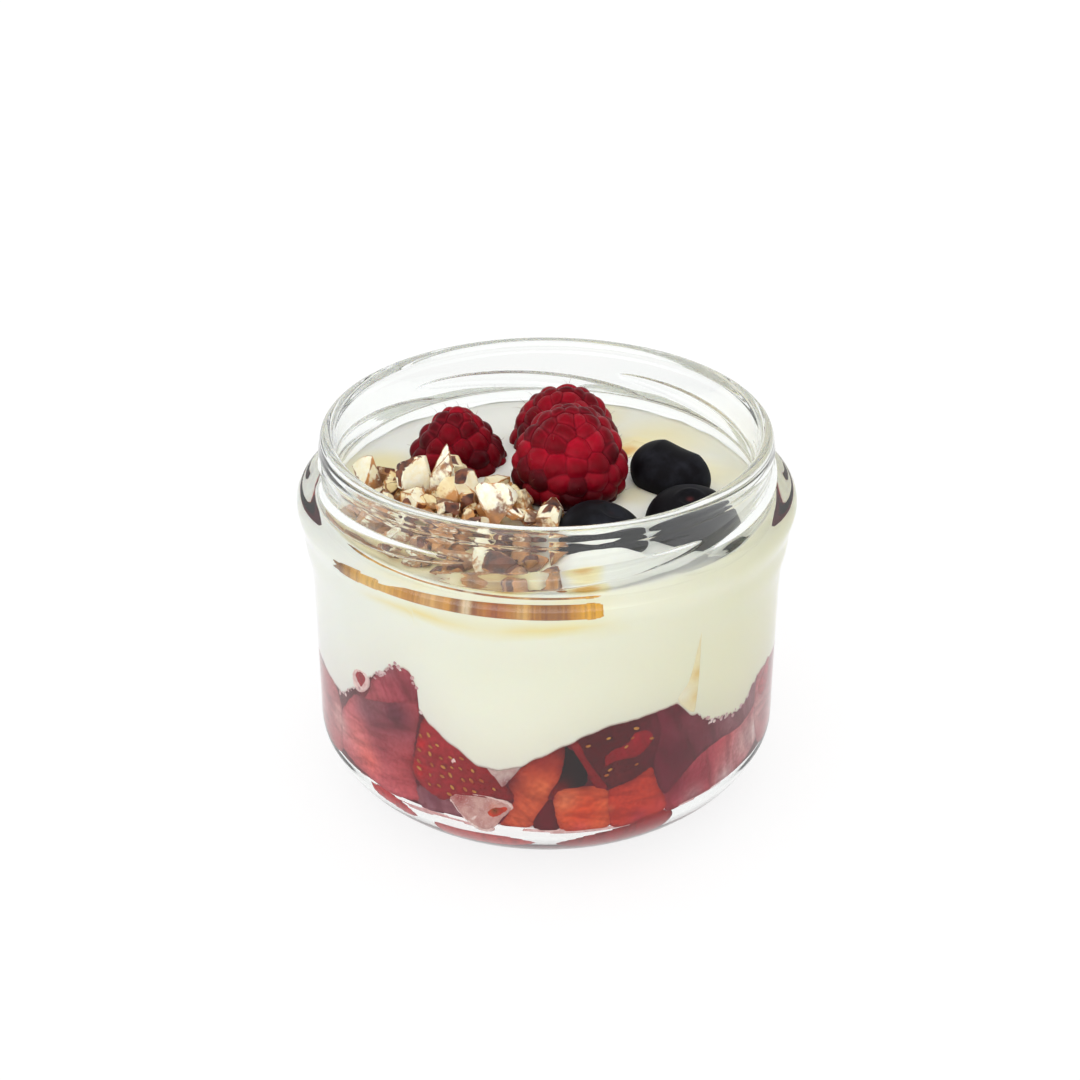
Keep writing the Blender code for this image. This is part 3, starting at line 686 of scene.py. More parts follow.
# Cream pushed up beside a berry: (x, y, reach across, reach towards the glass, rise)
LIPS = ((9.5, -29.6, 9.0, 3.2, 4.8), (23.0, -25.6, 5.5, 4.0, 1.0), (16.0, 10.0, 9.0, 9.0, 0.6))


def cream_top(x, y):
    apart = np.hypot(x - MOUND_AT[0], y - MOUND_AT[1])
    height = CREAM_LEVEL + MOUND_RISE * np.clip(1 - (apart / MOUND_REACH) ** 2, 0, None)
    for lip_x, lip_y, wide, deep, rise in LIPS:
        height = height + rise * np.exp(-((x - lip_x) / wide) ** 2 - ((y - lip_y) / deep) ** 2)
    return height


# Honey on the cream: (x, y, reach, amount)
HONEY_SPOTS = (
    (8.0, 31.0, 9.0, 0.35), (20.0, 20.0, 12.0, 0.34), (28.0, 6.0, 9.0, 0.28), (-30.0, 10.0, 8.0, 0.42),
    (-20.0, -16.0, 18.0, 0.6), (6.0, -36.0, 3.6, 1.0), (-6.0, -36.0, 4.5, 0.8), (14.0, 12.5, 4.0, 1.0),
    (17.0, 17.0, 6.0, 0.6), (-8.0, -30.0, 9.0, 0.7), (-32.0, -8.0, 6.0, 0.6), (14.5, -5.5, 5.5, 0.3),
)


def honey_share(x, y):
    """How much honey has run over the cream at a place."""
    share = np.zeros_like(x)
    for spot_x, spot_y, reach, amount in HONEY_SPOTS:
        apart = np.hypot(x - spot_x, y - spot_y) / reach
        share = np.maximum(share, amount * np.clip(1.3 - apart, 0, 1))
    return share


# Height and width of the honey's tint in the cream at the glass, and the lowest honey on the cream's top
HONEY_WASH_HEIGHT = 51.6
HONEY_WASH_WIDTH = 1.1
HONEY_FLOOR = 53.9
# How far out each ring of the cream's top and of its underside lies, as a share of the inside
TOP_RINGS = (0.06, 0.12, 0.18, 0.24, 0.3, 0.36, 0.42, 0.48, 0.54, 0.6, 0.65, 0.7, 0.74, 0.78, 0.82, 0.86, 0.9,
             0.93, 0.96, 0.985)
UNDER_RINGS = ((0.985, 0.3), (0.9, 0.1), (0.6, 0.0), (0.3, 0.0))


def cream_tints(points):
    """Cooler white on the left and the top, warmer towards the right of the glass: painted light, as if
    cooler light fell from the left and dimmer, warmer light on the right.
    """
    turns = np.degrees(np.arctan2(points[:, 0], -points[:, 1]))
    # Painted light: how much of the dimmer, warmer light falls on the wall here, most on the right.
    warm_light_share = np.clip((turns + 60) / 110, 0, 1) * np.clip((170 - turns) / 90, 0, 1)
    on_glass = np.clip((CREAM_LEVEL + 1.5 - points[:, 2]) / 2.0, 0, 1)
    cool_lit_white, warm_lit_white, top = rgb(254, 255, 247), rgb(252, 249, 222), rgb(252, 252, 244)
    wall = cool_lit_white + (warm_lit_white - cool_lit_white) * warm_light_share[:, None]
    span = np.clip((turns + 52) / 20, 0, 1) * np.clip((20 - turns) / 14, 0, 1)
    wash = 0.8 * span * np.exp(-((points[:, 2] - HONEY_WASH_HEIGHT) / HONEY_WASH_WIDTH) ** 2)
    wall = wall + (rgb(252, 230, 146) - wall) * wash[:, None]
    return top + (wall - top) * on_glass[:, None]


def make_cream():
    degrees = ring_angles(CREAM_SIDES)
    line = ragged_line(degrees)
    rings = [pole(cream_top(0.0, 0.0))]
    for share in TOP_RINGS:
        ring = around(share * wall_radius(CREAM_LEVEL), degrees, CREAM_LEVEL)
        swirl = np.array([0.28 * wave(point, 7.0) + 0.12 * wave(point, 2.6, 5.0) for point in ring])
        ring[:, 2] = cream_top(ring[:, 0], ring[:, 1]) + swirl * (1 - share ** 6)
        rings.append(ring)
    edge_ring = around(36.8, degrees, 0.0)
    rim_height = cream_top(edge_ring[:, 0], edge_ring[:, 1]) + 0.4
    rim_height += np.array([0.5 * wave(around(37, angle, 0), 6.0) for angle in degrees])
    rings.append(wall_point(degrees, rim_height, CREAM_PRESS))
    for share in np.linspace(0, 1, 15)[1:]:
        heights = rim_height + (line - rim_height) * share
        rings.append(wall_point(degrees, heights, CREAM_PRESS))
    rings.insert(len(rings) - 1, wall_point(degrees, line + 0.45, CREAM_PRESS))
    for share, drop in UNDER_RINGS:
        height = LAYER_CENTRE_HEIGHT + share ** 3 * (line + drop - LAYER_CENTRE_HEIGHT)
        rings.append(around(share * BODY_INSIDE, degrees, height))
    rings.append(pole(LAYER_CENTRE_HEIGHT))
    points, faces = capped_rings(rings)
    cream = make_object("mascarpone", points, faces, cream_material())
    share = honey_share(points[:, 0], points[:, 1])
    depth = np.clip((points[:, 2] - HONEY_FLOOR) / 0.5, 0, 1)
    put_attribute(cream, "honey", share * depth)
    put_colours(cream, cream_tints(points))
    reach = np.zeros(len(points))
    last = 1 + (len(rings) - 2 - len(UNDER_RINGS)) * CREAM_SIDES
    reach[last - CREAM_SIDES:last] = 0.6
    reach[last:] = 1.0
    put_attribute(cream, "fruit_edge", reach)
    hand_over(cream, "cream", "cream")


# Honey on the glass: name, press, colour, outline as (angle, height), soft spots of other colours
HONEY_PADS = (
    ("honey_pool", 0.42, (204, 136, 34),
     ((-59, 53.2), (-56, 53.8), (-46, 53.9), (-30, 53.9), (-10, 53.9), (6, 53.9), (11.4, 53.9),
      (13.2, 53.55), (12.0, 53.15), (6, 53.1), (-8, 53.1), (-24, 53.1), (-40, 53.1), (-54, 52.85)),
     ((-58, 53.4, 5.0, (124, 86, 50), 0.9), (-44, 53.6, 5.0, (226, 180, 96), 0.9),
      (-28, 53.6, 2.6, (216, 168, 104), 0.8), (-20.8, 53.6, 0.8, (110, 56, 24), 0.9),
      (-18.6, 53.6, 0.8, (240, 224, 190), 0.9), (-16.6, 53.6, 0.8, (120, 64, 30), 0.9),
      (-12.0, 53.6, 2.6, (166, 84, 14), 0.95), (-5.5, 53.6, 1.2, (222, 176, 100), 0.8),
      (1.0, 53.6, 3.2, (150, 92, 36), 0.95), (10.5, 53.6, 2.2, (236, 172, 36), 0.95))),
    ("honey_drop", 0.4, (196, 132, 70),
     ((2.0, 56.1), (3.6, 56.4), (4.8, 55.9), (3.4, 55.5)),
     ()),
    ("honey_wedge", 0.44, (250, 238, 196),
     ((38.4, 46.5), (37.6, 43.0), (36.6, 39.5), (35.2, 36.4), (33.0, 34.6), (32.4, 33.7), (37.6, 29.9),
      (38.5, 33.0), (38.9, 37.0), (38.9, 42.0)),
     ((38.2, 37.5, 1.3, (240, 208, 132), 0.9), (38.0, 33.0, 1.2, (240, 210, 140), 0.8),
      (34.0, 34.4, 1.6, (254, 248, 224), 0.9))),
)


def make_honey():
    smear, soft = honey_material(), film_material("honey_film", 0.15)
    for name, press, tint, corners, spots in HONEY_PADS:
        paint = soft if "wedge" in name else smear
        item = make_pad(name, corners, press, 0.7, paint, tint, spots, spacing=0.18, rounding=0.25)[0]
        hand_over(item, "cream")


def make_juice():
    """Juice and pulp that fill the room between the pieces of fruit."""
    degrees = ring_angles(JUICE_SIDES)
    line = ragged_line(degrees) + 0.9
    bottom = BASE_THICKNESS - JUICE_PRESS
    middle = LAYER_CENTRE_HEIGHT - 1.0
    rings = [pole(middle)]
    for share in (0.3, 0.6, 0.85, 0.97):
        rings.append(around(share * BODY_INSIDE, degrees, middle + share ** 3 * (line - LAYER_CENTRE_HEIGHT)))
    for share in np.linspace(0, 1, 12):
        heights = line + (HEEL_TOP - line) * share
        rings.append(wall_point(degrees, heights, JUICE_PRESS))
    lumps = np.array([1.0 + 0.35 * wave(around(30, angle, 0), 5.0) for angle in degrees])
    for height, gap in HEEL_GAP:
        rings.append(wall_point(degrees, height, JUICE_PRESS - gap * lumps))
    for radius in (29.5, 18.0, 9.0):
        rings.append(around(radius + 2.0 * (lumps - 1) * (radius > 20), degrees, bottom))
    rings.append(pole(bottom))
    points, faces = capped_rings(rings)
    juice = make_object("strawberry_juice", points, faces, juice_material())
    hand_over(juice, "strawberry", "strawberries")


# name, kind, lean of its grain, press, colour, outline on the glass, soft spots of other colours.
# Outlines are (angle, height); spots are (angle, height, reach, colour, strength).
# Many spots are painted light and painted shade: paler, pinker ones where light falls on the fruit, duskier
# ones where it lies in shade.
FRONT_PIECES = (
    # Painted light: the paler pink spots low down on the left, as if lit from below. Painted shade: the dusky
    # purple spots towards its top.
    ("cut_left", "flesh", 100, 0.2, (204, 84, 92),
     ((-64.5, 18.0), (-62.0, 22.0), (-58.5, 25.5), (-54.0, 28.6), (-48.5, 29.6), (-42.0, 31.2),
      (-33.0, 34.2), (-31.5, 32.0), (-32.6, 26.5), (-33.4, 22.5), (-33.6, 18.5), (-32.5, 15.5),
      (-31.5, 13.2), (-36.0, 12.2), (-43.0, 11.6), (-51.0, 12.4), (-58.5, 13.0), (-63.5, 14.2)),
     ((-50.5, 27.0, 3.0, (160, 96, 106), 0.8), (-39.5, 29.0, 5.5, (100, 30, 50), 0.95),
      (-47.0, 25.4, 3.6, (120, 44, 60), 0.8), (-46.3, 29.4, 2.2, (150, 82, 94), 0.7),
      (-54.0, 18.6, 3.4, (238, 124, 120), 0.9), (-49.5, 16.6, 2.6, (242, 106, 96), 0.9),
      (-43.5, 20.6, 3.2, (150, 40, 54), 0.7), (-38.0, 17.0, 3.0, (196, 70, 76), 0.7),
      (-34.0, 20.5, 2.6, (170, 28, 40), 0.8), (-63.0, 19.0, 2.6, (226, 176, 172), 0.8))),
    ("cut_far_left", "flesh", 95, 0.21, (192, 84, 88),
     ((-80, 25.5), (-72, 27.0), (-66, 27.0), (-61.5, 23.5), (-61.0, 16.0), (-63.0, 12.5), (-72, 11.5),
      (-84, 14.0)),
     ((-63.0, 20.0, 3.4, (222, 166, 162), 0.8), (-72.0, 22.0, 4.0, (170, 50, 60), 0.7))),
    ("cut_bump", "flesh", 25, 0.24, (184, 70, 84),
     ((-51.2, 28.3), (-49.0, 30.5), (-47.3, 33.8), (-43.6, 36.8), (-41.3, 38.9), (-38.8, 39.9),
      (-35.0, 39.9), (-31.0, 38.2), (-30.8, 34.6), (-33.1, 32.9), (-38.5, 31.0), (-45.3, 29.4)),
     ((-34.0, 35.2, 3.0, (128, 40, 54), 0.8), (-41.0, 38.0, 2.0, (146, 84, 94), 0.8),
      (-46.5, 31.0, 2.0, (186, 80, 86), 0.6))),
    ("skin_left", "skin", -42, 0.28, (166, 26, 36),
     ((-32.6, 27.5), (-31.5, 29.8), (-29.5, 31.4), (-27.0, 31.4), (-23.5, 29.2), (-19.0, 26.6),
      (-14.9, 24.6), (-11.5, 21.6), (-8.6, 19.6), (-7.4, 17.8), (-9.5, 17.0), (-13.8, 16.9),
      (-18.9, 16.6), (-22.8, 15.9), (-25.8, 14.6), (-30.0, 15.4), (-33.2, 17.0), (-34.8, 19.0),
      (-34.0, 22.8)),
     ((-11.5, 19.0, 4.0, (122, 8, 14), 0.9), (-30.0, 27.0, 4.0, (182, 34, 44), 0.7),
      (-33.2, 19.8, 1.7, (206, 0, 10), 1.0), (-31.8, 25.4, 1.4, (202, 0, 14), 1.0),
      (-27.5, 23.6, 1.0, (150, 0, 10), 0.9), (-18.0, 21.5, 4.0, (150, 20, 24), 0.7))),
    ("cut_crescent", "flesh", 55, 0.25, (204, 70, 42),
     ((-9.6, 20.6), (-8.0, 23.0), (-4.7, 25.4), (0.1, 27.8), (3.6, 29.4), (4.8, 28.2), (4.3, 24.4),
      (3.2, 21.6), (1.3, 19.6), (0.3, 17.0), (-1.9, 14.4), (-3.7, 12.0), (-7.8, 11.7), (-11.5, 12.0),
      (-9.5, 15.0), (-8.4, 17.8)),
     ((3.6, 28.0, 3.2, (104, 8, 14), 0.95), (-1.5, 25.8, 2.6, (146, 24, 24), 0.8),
      (-8.8, 21.4, 2.6, (118, 12, 26), 0.95), (-1.9, 19.0, 3.0, (228, 106, 62), 0.9),
      (-6.5, 13.2, 3.0, (222, 98, 58), 0.9), (3.9, 24.2, 1.3, (140, 22, 20), 0.9))),
    # Painted shade: near-black and dark red pads where the juice between the pieces lies deep in shadow.
    ("gap_upper", "flesh", 0, 0.215, (30, 0, 2),
     ((3.8, 29.0), (6.6, 27.6), (10.2, 23.2), (9.6, 20.4), (4.3, 18.8), (0.4, 18.2), (3.0, 23.7)),
     ((1.5, 19.4, 2.2, (140, 10, 6), 0.95),)),
    ("gap_lower", "flesh", 0, 0.21, (104, 4, 22),
     ((-3.5, 14.6), (-1.4, 17.6), (1.4, 18.0), (3.0, 15.2), (3.4, 11.6), (-3.2, 11.6)),
     ()),
    ("cut_side", "flesh", -50, 0.245, (142, 12, 20),
     ((4.6, 29.4), (7.6, 29.8), (11.2, 24.0), (15.0, 19.6), (12.6, 18.8), (9.4, 22.2), (6.4, 26.6)),
     ((5.4, 28.6, 1.6, (150, 34, 32), 0.8),)),
    ("skin_right", "skin", 12, 0.23, (88, 2, 10),
     ((5.0, 29.6), (7.8, 31.0), (11.3, 32.2), (15.0, 32.8), (20.0, 33.0), (26.0, 33.6), (29.0, 30.0),
      (28.0, 24.0), (25.6, 20.6), (19.7, 19.4), (15.0, 18.8), (10.6, 23.4), (7.2, 27.2)),
     ((16.5, 21.5, 2.6, (104, 22, 26), 0.8), (27.0, 29.0, 3.0, (112, 22, 40), 0.9),
      (26.5, 24.0, 2.6, (104, 14, 32), 0.9))),
    ("wet_oval", "flesh", 20, 0.3, (172, 4, 28),
     ((13.3, 25.4), (15.1, 26.9), (19.2, 28.0), (20.7, 29.5), (23.3, 29.9), (25.9, 29.0), (26.3, 27.3),
      (24.6, 25.6), (22.1, 24.4), (19.5, 24.4), (16.4, 24.2), (13.9, 23.6)),
     ((25.4, 29.0, 0.9, (150, 20, 40), 0.9), (15.0, 25.6, 1.2, (128, 10, 16), 0.8))),
    # Painted shade: the darker spots along the top of the cut block, on the face turned from the light.
    ("block_left", "flesh", 82, 0.287, (224, 92, 52),
     ((1.2, 18.0), (2.4, 20.0), (7.9, 20.5), (12.2, 20.1), (15.0, 19.0), (15.8, 15.6), (15.7, 11.4),
      (10.6, 11.0), (3.4, 11.4), (1.5, 14.6)),
     ((8.0, 15.4, 3.4, (228, 64, 20), 0.9), (4.0, 18.0, 2.5, (228, 116, 74), 0.9),
      (9.0, 20.8, 1.3, (120, 8, 8), 0.95), (8.0, 11.6, 1.6, (210, 66, 60), 0.8))),
    ("block_right", "flesh", 84, 0.29, (206, 54, 30),
     ((14.6, 18.8), (19.7, 20.2), (24.2, 21.8), (25.9, 22.2), (28.3, 17.5), (31.0, 13.4), (29.9, 11.8),
      (23.5, 11.0), (15.7, 11.2)),
     ((20.0, 20.4, 1.7, (168, 34, 26), 0.9), (29.0, 13.6, 2.0, (204, 54, 52), 0.8),
      (23.0, 12.0, 1.8, (188, 50, 60), 0.9), (15.2, 15.0, 0.7, (226, 110, 74), 0.7))),
    ("cut_right", "flesh", 20, 0.22, (118, 22, 42),
     ((25.6, 33.4), (31.9, 34.8), (36.0, 33.4), (40.0, 30.4), (46.1, 27.4), (54.3, 27.2), (58.4, 28.9),
      (62.1, 30.0), (66.0, 29.0), (64.5, 23.2), (56.2, 20.6), (47.0, 20.8), (40.0, 19.6), (33.6, 16.4),
      (29.7, 14.6), (26.5, 19.6)),
     ((36.7, 27.5, 3.4, (128, 46, 60), 0.8), (33.3, 22.4, 4.0, (98, 4, 28), 0.8),
      (32.0, 31.5, 2.0, (104, 0, 28), 0.8), (44.5, 23.8, 3.0, (116, 34, 50), 0.7),
      (51.0, 25.0, 3.4, (154, 90, 100), 0.8), (60.0, 25.5, 4.0, (160, 98, 106), 0.8))),
    ("cut_lower_right", "flesh", 8, 0.205, (190, 62, 76),
     ((27.5, 19.0), (31.2, 21.6), (37.3, 22.4), (45.7, 23.0), (56.1, 23.4), (64.0, 23.0), (68.0, 15.9),
      (62.4, 13.0), (54.8, 12.0), (46.5, 11.8), (37.9, 11.6), (30.6, 11.4)),
     ((32.0, 17.0, 4.0, (118, 10, 34), 0.95), (41.0, 16.6, 3.4, (158, 34, 54), 0.8),
      (50.4, 19.6, 3.0, (214, 70, 80), 0.8), (49.8, 16.2, 3.0, (200, 96, 102), 0.8),
      (57.0, 17.3, 4.0, (208, 140, 140), 0.9), (64.0, 17.0, 4.0, (230, 192, 188), 0.9),
      (50.0, 12.4, 2.4, (222, 190, 188), 0.9), (38.5, 12.4, 2.2, (176, 118, 122), 0.9))),
    ("cut_far_right", "flesh", 70, 0.24, (188, 80, 86),
     ((64.0, 30.0), (69.0, 31.0), (78.0, 32.5), (84.0, 24.0), (80.0, 13.0), (72.0, 11.6), (66.0, 13.4),
      (62.0, 22.0)),
     ((64.0, 20.0, 3.4, (220, 160, 158), 0.8), (74.0, 26.0, 4.0, (150, 44, 56), 0.7))),
    ("bit_right", "flesh", 60, 0.385, (186, 22, 40),
     ((65.2, 23.8), (64.6, 25.8), (66.4, 26.9), (68.2, 28.2), (69.9, 29.3), (72.0, 29.4), (73.6, 27.4),
      (73.1, 24.2), (71.0, 22.8), (67.6, 22.7)),
     ()),
    # A bubble on the glass: the pale ring round its red core is a painted reflection.
    ("ring_bubble", "film", 0, 0.375, (250, 226, 220),
     ((-55.3, 32.2), (-53.8, 33.8), (-51.1, 34.5), (-48.4, 34.3), (-47.8, 32.2), (-50.2, 30.0),
      (-52.6, 29.2), (-54.8, 29.8)),
     ((-51.2, 32.2, 1.9, (224, 168, 166), 0.8),)),
    ("ring_core", "flesh", 30, 0.392, (176, 12, 34),
     ((-54.0, 32.5), (-52.4, 33.9), (-50.0, 34.1), (-48.6, 32.9), (-49.6, 31.5), (-51.0, 30.3),
      (-52.6, 30.9)),
     ()),
    ("film_patch", "film", 20, 0.3, (212, 164, 156),
     ((-24.4, 15.8), (-22.8, 17.2), (-18.9, 17.5), (-13.8, 17.6), (-8.9, 16.7), (-8.0, 15.9),
      (-10.2, 13.8), (-12.8, 11.4), (-14.8, 10.7), (-17.9, 11.0), (-21.0, 12.5), (-23.0, 14.5)),
     ((-21.5, 16.4, 1.6, (170, 40, 44), 0.8), (-13.0, 15.6, 1.0, (224, 150, 130), 0.8))),
    ("film_core", "flesh", 30, 0.318, (214, 60, 30),
     ((-15.1, 14.2), (-13.9, 15.6), (-12.0, 16.1), (-9.6, 16.3), (-8.9, 15.7), (-10.8, 14.0),
      (-13.3, 13.2)),
     ((-12.6, 15.0, 0.7, (96, 60, 10), 0.9),)),
    ("film_wedge", "film", 0, 0.3, (206, 180, 174),
     ((-15.2, 24.2), (-11.3, 24.4), (-8.3, 25.0), (-5.5, 25.2), (-8.9, 21.2), (-10.6, 19.6),
      (-12.6, 21.2)),
     ((-9.5, 20.6, 1.6, (150, 90, 96), 0.8),)),
    # Painted highlights: pale lines along the lower and upper rim of the pale patch above.
    ("film_edge_lower", "film", 20, 0.312, (244, 222, 216),
     ((-24.6, 15.6), (-22.9, 13.9), (-20.6, 12.0), (-17.8, 10.6), (-14.7, 10.3), (-12.6, 11.0),
      (-13.2, 11.5), (-15.0, 11.0), (-17.6, 11.4), (-20.2, 12.8), (-22.2, 14.4), (-23.8, 16.0)),
     ()),
    ("film_edge_upper", "film", 20, 0.312, (238, 208, 202),
     ((-23.8, 16.9), (-19.0, 17.9), (-13.9, 18.0), (-9.0, 17.1), (-7.8, 16.0), (-9.4, 14.2),
      (-8.9, 15.6), (-10.4, 16.4), (-14.0, 17.1), (-18.8, 17.1)),
     ()),
    ("film_swirl", "film", 60, 0.316, (246, 226, 220),
     ((-19.6, 12.4), (-17.6, 14.0), (-16.6, 15.8), (-15.4, 16.4), (-15.8, 15.0), (-16.6, 13.2),
      (-18.2, 11.8)),
     ()),
    ("film_drop", "film", 0, 0.33, (246, 222, 216),
     ((-24.0, 23.4), (-23.0, 24.4), (-21.9, 24.2), (-21.8, 23.4), (-22.8, 22.8), (-23.7, 22.8)),
     ()),
    ("film_sliver", "film", 10, 0.345, (214, 170, 172),
     ((15.5, 32.2), (19.0, 32.6), (22.5, 33.2), (25.6, 34.0), (22.0, 33.9), (18.5, 33.5)),
     ()),
    ("gap_left", "flesh", 0, 0.195, (150, 88, 98),
     ((-34.6, 15.8), (-29.0, 17.0), (-22.2, 15.2), (-19.6, 12.8), (-26.0, 11.8), (-33.0, 12.0)),
     ((-29.0, 14.8, 2.0, (118, 50, 66), 0.8),)),
)
# Fruit that rests against the rounded heel, under the gap
HEEL_PIECES = (
    ("heel_left", 0.16, (196, 34, 40),
     ((-50.2, 11.6), (-46.0, 12.3), (-40.5, 11.8), (-36.0, 10.8), (-34.2, 9.6), (-37.6, 8.9),
      (-42.5, 9.6), (-47.6, 10.2))),
    ("heel_middle", 0.16, (198, 66, 64),
     ((-29.8, 9.8), (-22.0, 9.9), (-14.0, 10.0), (-6.0, 9.5), (-2.6, 8.4), (-8.0, 7.0), (-16.0, 6.6),
      (-24.0, 6.6), (-29.0, 7.3))),
    ("heel_right", 0.17, (160, 10, 20),
     ((2.0, 8.3), (8.0, 9.8), (13.0, 10.5), (20.0, 11.1), (25.5, 12.0), (30.0, 12.1), (33.2, 11.0),
      (32.0, 8.4), (28.0, 7.0), (20.0, 6.4), (12.0, 5.9), (6.0, 6.6))),
)
# Thin pale pink pads along the foot of the fruit: painted light, standing in for the white floor seen through
# the heel
HEEL_LIGHT_PADS = (
    ("heel_film_left", 0.13, (226, 176, 176),
     ((-58, 12.6), (-50, 12.2), (-40, 11.6), (-30, 12.0), (-18, 11.4), (-17, 10.8), (-24, 11.0),
      (-34, 10.8), (-44, 11.3), (-54, 11.9))),
    ("heel_film_right", 0.13, (236, 196, 194),
     ((-10, 11.4), (0, 11.9), (12, 11.6), (24, 11.4), (36, 12.2), (46, 12.3), (58, 12.9), (54, 12.1),
      (44, 11.5), (34, 11.2), (24, 10.7), (10, 10.5), (0, 10.7))),
)
BACK_TINTS = ((184, 60, 66), (206, 76, 50), (160, 28, 38), (196, 104, 108), (130, 30, 46), (214, 70, 40),
              (112, 18, 38), (104, 8, 16))


def make_seeds(name, spots, press):
    """Small pips lying just in front of a skin, longer along the berry."""
    paint = Paint("pip", roughness=0.4, specular_ior_level=0.0)
    tones = paint.ramp(paint.noise(420.0), (0.38, lin(176, 84, 34)), (0.6, lin(206, 146, 66)))
    paint.feed("Base Color", tones)
    shape = bmesh.new()
    for u, v, turn, size in spots:
        centre = Vector(on_wall(np.array([(u, v)]), np.array([press]))[0])
        add_pip(shape, centre, (0.40 * size, 0.68 * size, 0.12), turn)
    finish_pips(name, shape, paint.material)


FROTH_PRESS = 0.40
# Froth along the ragged edge of the cream: first and last angle, count
FROTH_RUNS = ((-46.0, -30.6, 34), (42.0, 62.0, 26), (-66.0, -52.0, 10))


def make_froth(draw):
    """Little bubbles of cream and juice that cling to the glass along the ragged edge."""
    paint = Paint("froth", roughness=0.3, specular_ior_level=0.0)
    tones = paint.ramp(paint.noise(380.0), (0.4, lin(206, 156, 160)), (0.6, lin(244, 222, 220)))
    paint.feed("Base Color", tones)
    shape = bmesh.new()
    for first, last, count in FROTH_RUNS:
        for _ in range(count):
            angle = draw.uniform(first, last)
            size = draw.uniform(0.16, 0.42)
            height = float(fruit_line(angle)) + draw.gauss(-0.15, 0.3)
            centre = Vector(wall_point(np.array([angle]), np.array([height]), FROTH_PRESS)[0])
            add_pip(shape, centre, (size, size * 0.9, 0.05))
    finish_pips("froth", shape, paint.material)


SEED_PITCH = 2.35
SEED_ROWS = 25


def skin_seeds(item, flat, apart, lean, draw, share):
    """Uneven rows of pips over a skin, each with painted shade round it as if it sat in a hollow; returns
    their places.
    """
    turn = math.radians(lean)
    spots = []
    middle = flat.mean(0)
    for row in range(-SEED_ROWS, SEED_ROWS):
        for column in range(-SEED_ROWS, SEED_ROWS):
            along = (row + (column % 2) / 2) * SEED_PITCH * 1.1 + draw.uniform(-0.55, 0.55)
            across = column * SEED_PITCH * 0.62 + draw.uniform(-0.4, 0.4)
            u = middle[0] + along * math.cos(turn) - across * math.sin(turn)
            v = middle[1] + along * math.sin(turn) + across * math.cos(turn)
            nearest = np.argmin(np.hypot(flat[:, 0] - u, flat[:, 1] - v))
            close = np.hypot(flat[nearest, 0] - u, flat[nearest, 1] - v)
            clear = v < float(fruit_line(u / ARC_MM)) - 0.9
            if clear and close < 0.6 and apart[nearest] > 0.7 and draw.random() < share:
                spots.append((u, v, turn + math.pi / 2 + draw.uniform(-0.5, 0.5), draw.uniform(0.5, 0.8)))
    # Painted shade round each pip, as if it sat in a hollow.
    seed_pit_shade = np.zeros(len(flat))
    for u, v, _, size in spots:
        seed_pit_shade = np.maximum(seed_pit_shade, np.clip(1.3 - np.hypot(flat[:, 0] - u, flat[:, 1] - v) / (0.95 * size), 0, 1))
    rest = len(item.data.vertices) - len(flat)
    put_attribute(item, "seed_pit_shade", np.concatenate([seed_pit_shade, np.zeros(rest)]))
    return spots


BACK_COUNT = 30
BACK_ARC = (86, 276)
BACK_ROWS = (27.0, 16.5, 21.5)


def back_pieces(draw):
    """Cut pieces for the rest of the glass, in three uneven rows."""
    pieces = []
    for index in range(BACK_COUNT):
        share = (index + 0.5) / BACK_COUNT
        degrees = BACK_ARC[0] + (BACK_ARC[1] - BACK_ARC[0]) * share + draw.uniform(-2, 2)
        height = BACK_ROWS[index % 3] + draw.uniform(-1.5, 1.5)
        height = min(height, float(fruit_line(degrees)) - 4.0)
        length, width = draw.uniform(7.0, 10.0), draw.uniform(4.5, 7.0)
        lean = draw.uniform(-80, 80)
        turn = math.radians(lean)
        outline = []
        corners = draw.choice((6, 7, 8))
        for corner in range(corners):
            angle = math.tau * (corner + draw.uniform(-0.25, 0.25)) / corners
            reach = draw.uniform(0.8, 1.1)
            along, across = length * reach * math.cos(angle), width * reach * math.sin(angle)
            u = degrees * ARC_MM + along * math.cos(turn) - across * math.sin(turn)
            v = height + along * math.sin(turn) + across * math.cos(turn)
            outline.append((u / ARC_MM, max(v, 11.2)))
        tint = BACK_TINTS[(index * 5 + index // 3) % 8]
        other = BACK_TINTS[(index * 3 + 1) % 8]
        kind = "skin" if index % 4 == 2 else "flesh"
        if kind == "skin":
            tint = (160, 26, 36)
        spots = tuple((degrees + draw.uniform(-6, 6), height + draw.uniform(-3, 3), draw.uniform(2, 4), other,
                       draw.uniform(0.3, 0.7)) for _ in range(2))
        pieces.append((f"cut_back_{index}", kind, lean, 0.18 + 0.0035 * index, tint, tuple(outline), spots))
    return tuple(pieces)


